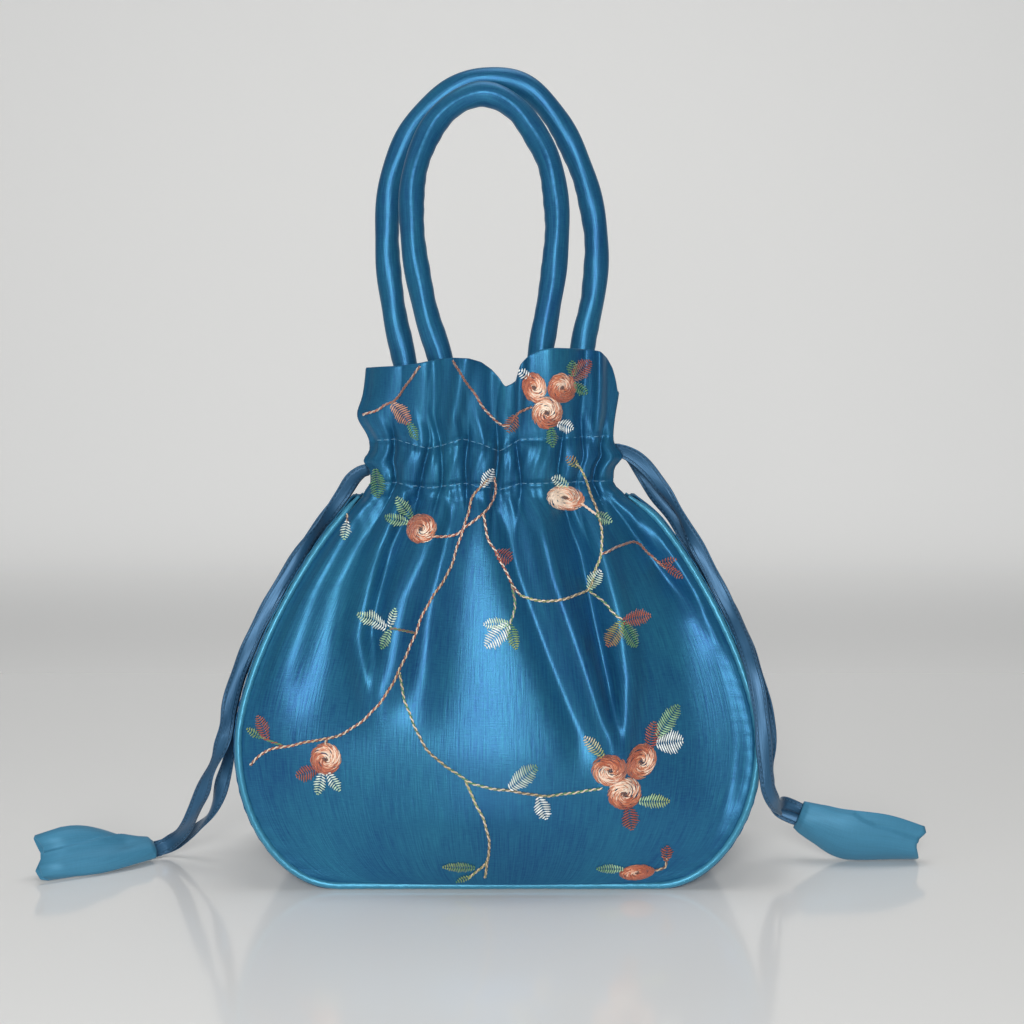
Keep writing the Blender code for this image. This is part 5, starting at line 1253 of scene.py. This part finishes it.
class BAG_OT_casing_stitches(bpy.types.Operator):
    """Sew the two rows of stitches that hold each casing"""
    bl_idname = "bag.casing_stitches"
    bl_label = "Casing Stitches"

    def execute(self, context):
        length = sizes().stitch_length
        material = once(stitch_material, "casing_thread", (0.06, 0.22, 0.36))
        points = 6
        for name, side in (("front_casing_stitches", -1), ("back_casing_stitches", 1)):
            count = round((NECK_WIDTH - 0.006) / (length * 1.35))
            start = (np.arange(count) + 0.5) / count * 0.94 + 0.03
            reach = np.linspace(-0.5, 0.5, points) * length / NECK_WIDTH
            u = start[:, None] + reach[None, :]
            rows = []
            for height, share in ((LOWER_ROW, 0.5), (UPPER_ROW, 1.0)):
                z = height + share * row_drift(lean(height) + (u - 0.5) * NECK_WIDTH, side)
                arch = 0.00016 + 0.00012 * np.cos(reach / reach[-1] * math.pi / 2)[None, :]
                rows.append(panel_point(u, z, -arch - 0 * u, side))
            runs = np.concatenate(rows)
            shape = np.sqrt(np.clip(1.02 - np.linspace(-1, 1, points) ** 2, 0.04, 1))
            radius = CASING_THREAD * shape[None, :] + 0 * runs[..., 0]
            sewn = stitches_piece(name, runs, (0, side, 0), radius, np.full(runs.shape, 0.3), material)
            settle(sewn, "satin")
        return {"FINISHED"}


def vine_runs(vines, thread):
    """Each vine as two threads twisted about its line: points in a helix, with colours that drift along it."""
    runs, tones = [], []
    for first, second, places in vines:
        length = smooth_route(places, 2)[1]
        steps = max(8, round(length / VINE_STEP))
        line = smooth_route(places, steps)[0]
        tangent = unit(np.gradient(line, axis=0))
        normal = np.stack([tangent[:, 1], -tangent[:, 0]], axis=1)
        run = np.linspace(0, length, steps)
        drift = 0.00022 * np.sin(run / 0.0041) + 0.00012 * np.sin(run / 0.0017 + 1)
        for index, tone in enumerate((first, second)):
            turn = TAU * run / VINE_TURN + index * math.pi
            place = line + normal * (1.65 * thread * np.cos(turn) + drift)[:, None]
            runs.append((place, 1.8 * thread + thread * np.sin(turn)))
            pale = 0.5 + 0.5 * np.sin(run / 0.0068 + index * 2 + length * 200)
            own, other = np.array(THREADS[tone]), np.array(THREADS["cream" if index else "brown"])
            tones.append(own + 0.75 * pale[:, None] * (other - own))
    return runs, tones


def rose_runs(rose, thread, draw):
    """Rose: threads run round its middle in a spiral of short arcs, rust outside and cream inside, domed."""
    x, z, wide, high, tilt, cream = rose
    ring = np.repeat(np.arange(ROSE_RINGS), 7 + 6 * np.arange(ROSE_RINGS))
    share = (ring + 0.7) / ROSE_RINGS
    turn = draw.uniform(0, TAU, len(ring))
    span = draw.uniform(0.9, 1.5, len(ring)) * 0.55 / (0.25 + share)
    points = 7
    along = np.linspace(-0.5, 0.5, points)[None, :]
    angle = turn[:, None] + along * span[:, None]
    reach = share[:, None] + along * 0.16 + draw.uniform(-0.04, 0.04, len(ring))[:, None]
    reach = np.clip(reach, 0.06, 1.05)
    flat = np.stack([wide * reach * np.cos(angle), high * reach * np.sin(angle)], axis=-1)
    lean_by = math.radians(tilt)
    place = np.stack([x + flat[..., 0] * math.cos(lean_by) - flat[..., 1] * math.sin(lean_by),
                      z + flat[..., 0] * math.sin(lean_by) + flat[..., 1] * math.cos(lean_by)], axis=-1)
    dome = 0.00105 * (1 - reach ** 2.2) - 0.0006 * np.exp(-(reach / 0.22) ** 2) + 1.3 * thread
    dome = dome + 0.8 * thread * np.cos(along * math.pi) * draw.uniform(0.4, 1.3, len(ring))[:, None]
    light = 1.3 * cream + 0.30 - 0.75 * share + 0.38 * np.sin(angle[:, points // 2] + tilt)
    light = np.clip(light + draw.uniform(-0.48, 0.48, len(ring)), 0, 1)
    ramp = np.array([THREADS[k] for k in ("rust", "orange", "orange", "peach", "cream", "cream")])
    tone = np.stack([np.interp(light * 5, range(6), channel) for channel in ramp.T], axis=1)
    tone[reach[:, points // 2] < 0.17] = THREADS["brown"]
    rim = (share > 0.88) & (draw.uniform(0, 1, len(ring)) < 0.45)
    tone[rim] = 0.5 * tone[rim] + 0.5 * np.array(THREADS["brown"])
    return place, dome, tone


def leaf_runs(leaf, thread, draw):
    """Leaf in feather stitch: a middle thread with slanting barbs on both sides that end on a lens outline."""
    base, tip, first, second, share = leaf
    base, tip = np.array(base), np.array(tip)
    length = np.linalg.norm(tip - base)
    ahead = (tip - base) / length
    sideways = np.array((-ahead[1], ahead[0]))
    count = max(6, round(length / BARB_SPACE))
    t = np.repeat(np.linspace(0.04, 0.92, count), 2)
    side = np.tile((-1.0, 1.0), count)
    reach = share * 1.25 * length * np.sin(math.pi * np.clip(t * 0.92 + 0.10, 0, 1)) ** 0.8
    reach = reach * draw.uniform(0.82, 1.1, len(t))
    along = np.linspace(0, 1, 5)[None, :]
    forward = 0.38 * reach[:, None] * along ** 1.3
    flat = (base + (t * length)[:, None, None] * ahead + forward[..., None] * ahead
            + (side * reach)[:, None, None] * along[..., None] * sideways)
    lift = 1.6 * thread + 1.6 * thread * np.sin(math.pi * along) + 0 * t[:, None]
    mixed = t + draw.uniform(-0.12, 0.12, len(t))
    inner, outer = np.array(THREADS[first]), np.array(THREADS[second])
    tone = inner + np.clip(mixed, 0, 1)[:, None] * (outer - inner)
    tone = tone * draw.uniform(0.75, 1.15, len(t))[:, None]
    return flat, lift, np.clip(tone, 0, 1)


def spray(name, vines, roses, leaves, seed, node):
    """Embroider vines, roses and leaves on the front panel's cloth, all joined into one piece."""
    thread = sizes().thread
    draw = np.random.default_rng(seed)
    material = once(thread_material, "vine_thread")
    made = []
    lines, tones = vine_runs(vines, thread)
    for index, ((place, lift), tone) in enumerate(zip(lines, tones)):
        run = on_front(place, lift)[None]
        radius = np.full(run.shape[:2], 1.55 * thread)
        radius[:, (0, -1)] = 0.2 * thread
        made.append((run, radius, tone[None]))
    for maker, table in ((rose_runs, roses), (leaf_runs, leaves)):
        for entry in table:
            place, lift, tone = maker(entry, thread, draw)
            run = on_front(place, lift)
            shape = np.sin(np.linspace(0.12, math.pi - 0.12, run.shape[1])) ** 0.5
            girth = thread * (1.0 if maker is rose_runs else 1.75)
            radius = girth * shape[None, :] + 0 * run[..., 0]
            made.append((run, radius, np.repeat(tone[:, None], run.shape[1], 1)))
    pieces = [stitches_piece(f"{name}_{index}", run, (0, -1, 0), radius, tone, material)
              for index, (run, radius, tone) in enumerate(made)]
    with bpy.context.temp_override(active_object=pieces[0], object=pieces[0],
                                   selected_objects=pieces, selected_editable_objects=pieces):
        bpy.ops.object.join()
    pieces[0].name = name
    return settle(pieces[0], "embroidery_thread", node)


class BAG_OT_embroidery(bpy.types.Operator):
    """Embroider the rose vines on the front panel and on its ruffle"""
    bl_idname = "bag.embroidery"
    bl_label = "Embroidery"

    def execute(self, context):
        spray("vine_embroidery", VINES, ROSES, LEAVES, 5, "embroidered_vine")
        spray("ruffle_embroidery", RUFFLE_VINES, RUFFLE_ROSES, RUFFLE_LEAVES, 11, "embroidered_ruffle_roses")
        return {"FINISHED"}


class BAG_PT_builder(bpy.types.Panel):
    """Lists the bag's pieces and their sizes and colours"""
    bl_label = "Satin Bag"
    bl_idname = "BAG_PT_builder"
    bl_space_type = "VIEW_3D"
    bl_region_type = "UI"
    bl_category = "Bag"

    def draw(self, context):
        for owner in (context.scene.bag_sizes, context.scene.bag_colours):
            box = self.layout.box()
            for entry in owner.__annotations__:
                box.prop(owner, entry)
        for operator in OPERATORS:
            self.layout.operator(operator.bl_idname)


OPERATORS = (BAG_OT_stage, BAG_OT_tabs, BAG_OT_drawstrings, BAG_OT_panels, BAG_OT_gusset, BAG_OT_piping,
             BAG_OT_lining, BAG_OT_handles, BAG_OT_casing_stitches, BAG_OT_embroidery)
CLASSES = (BagSizes, BagColours, *OPERATORS, BAG_PT_builder)


def register():
    for cls in CLASSES:
        bpy.utils.register_class(cls)
    bpy.types.Scene.bag_sizes = bpy.props.PointerProperty(type=BagSizes)
    bpy.types.Scene.bag_colours = bpy.props.PointerProperty(type=BagColours)


def unregister():
    del bpy.types.Scene.bag_colours
    del bpy.types.Scene.bag_sizes
    for cls in reversed(CLASSES):
        bpy.utils.unregister_class(cls)


def main():
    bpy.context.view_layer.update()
    register()
    for operator in OPERATORS:
        group, action = operator.bl_idname.split(".")
        getattr(getattr(bpy.ops, group), action)()


if __name__ == "__main__":
    main()
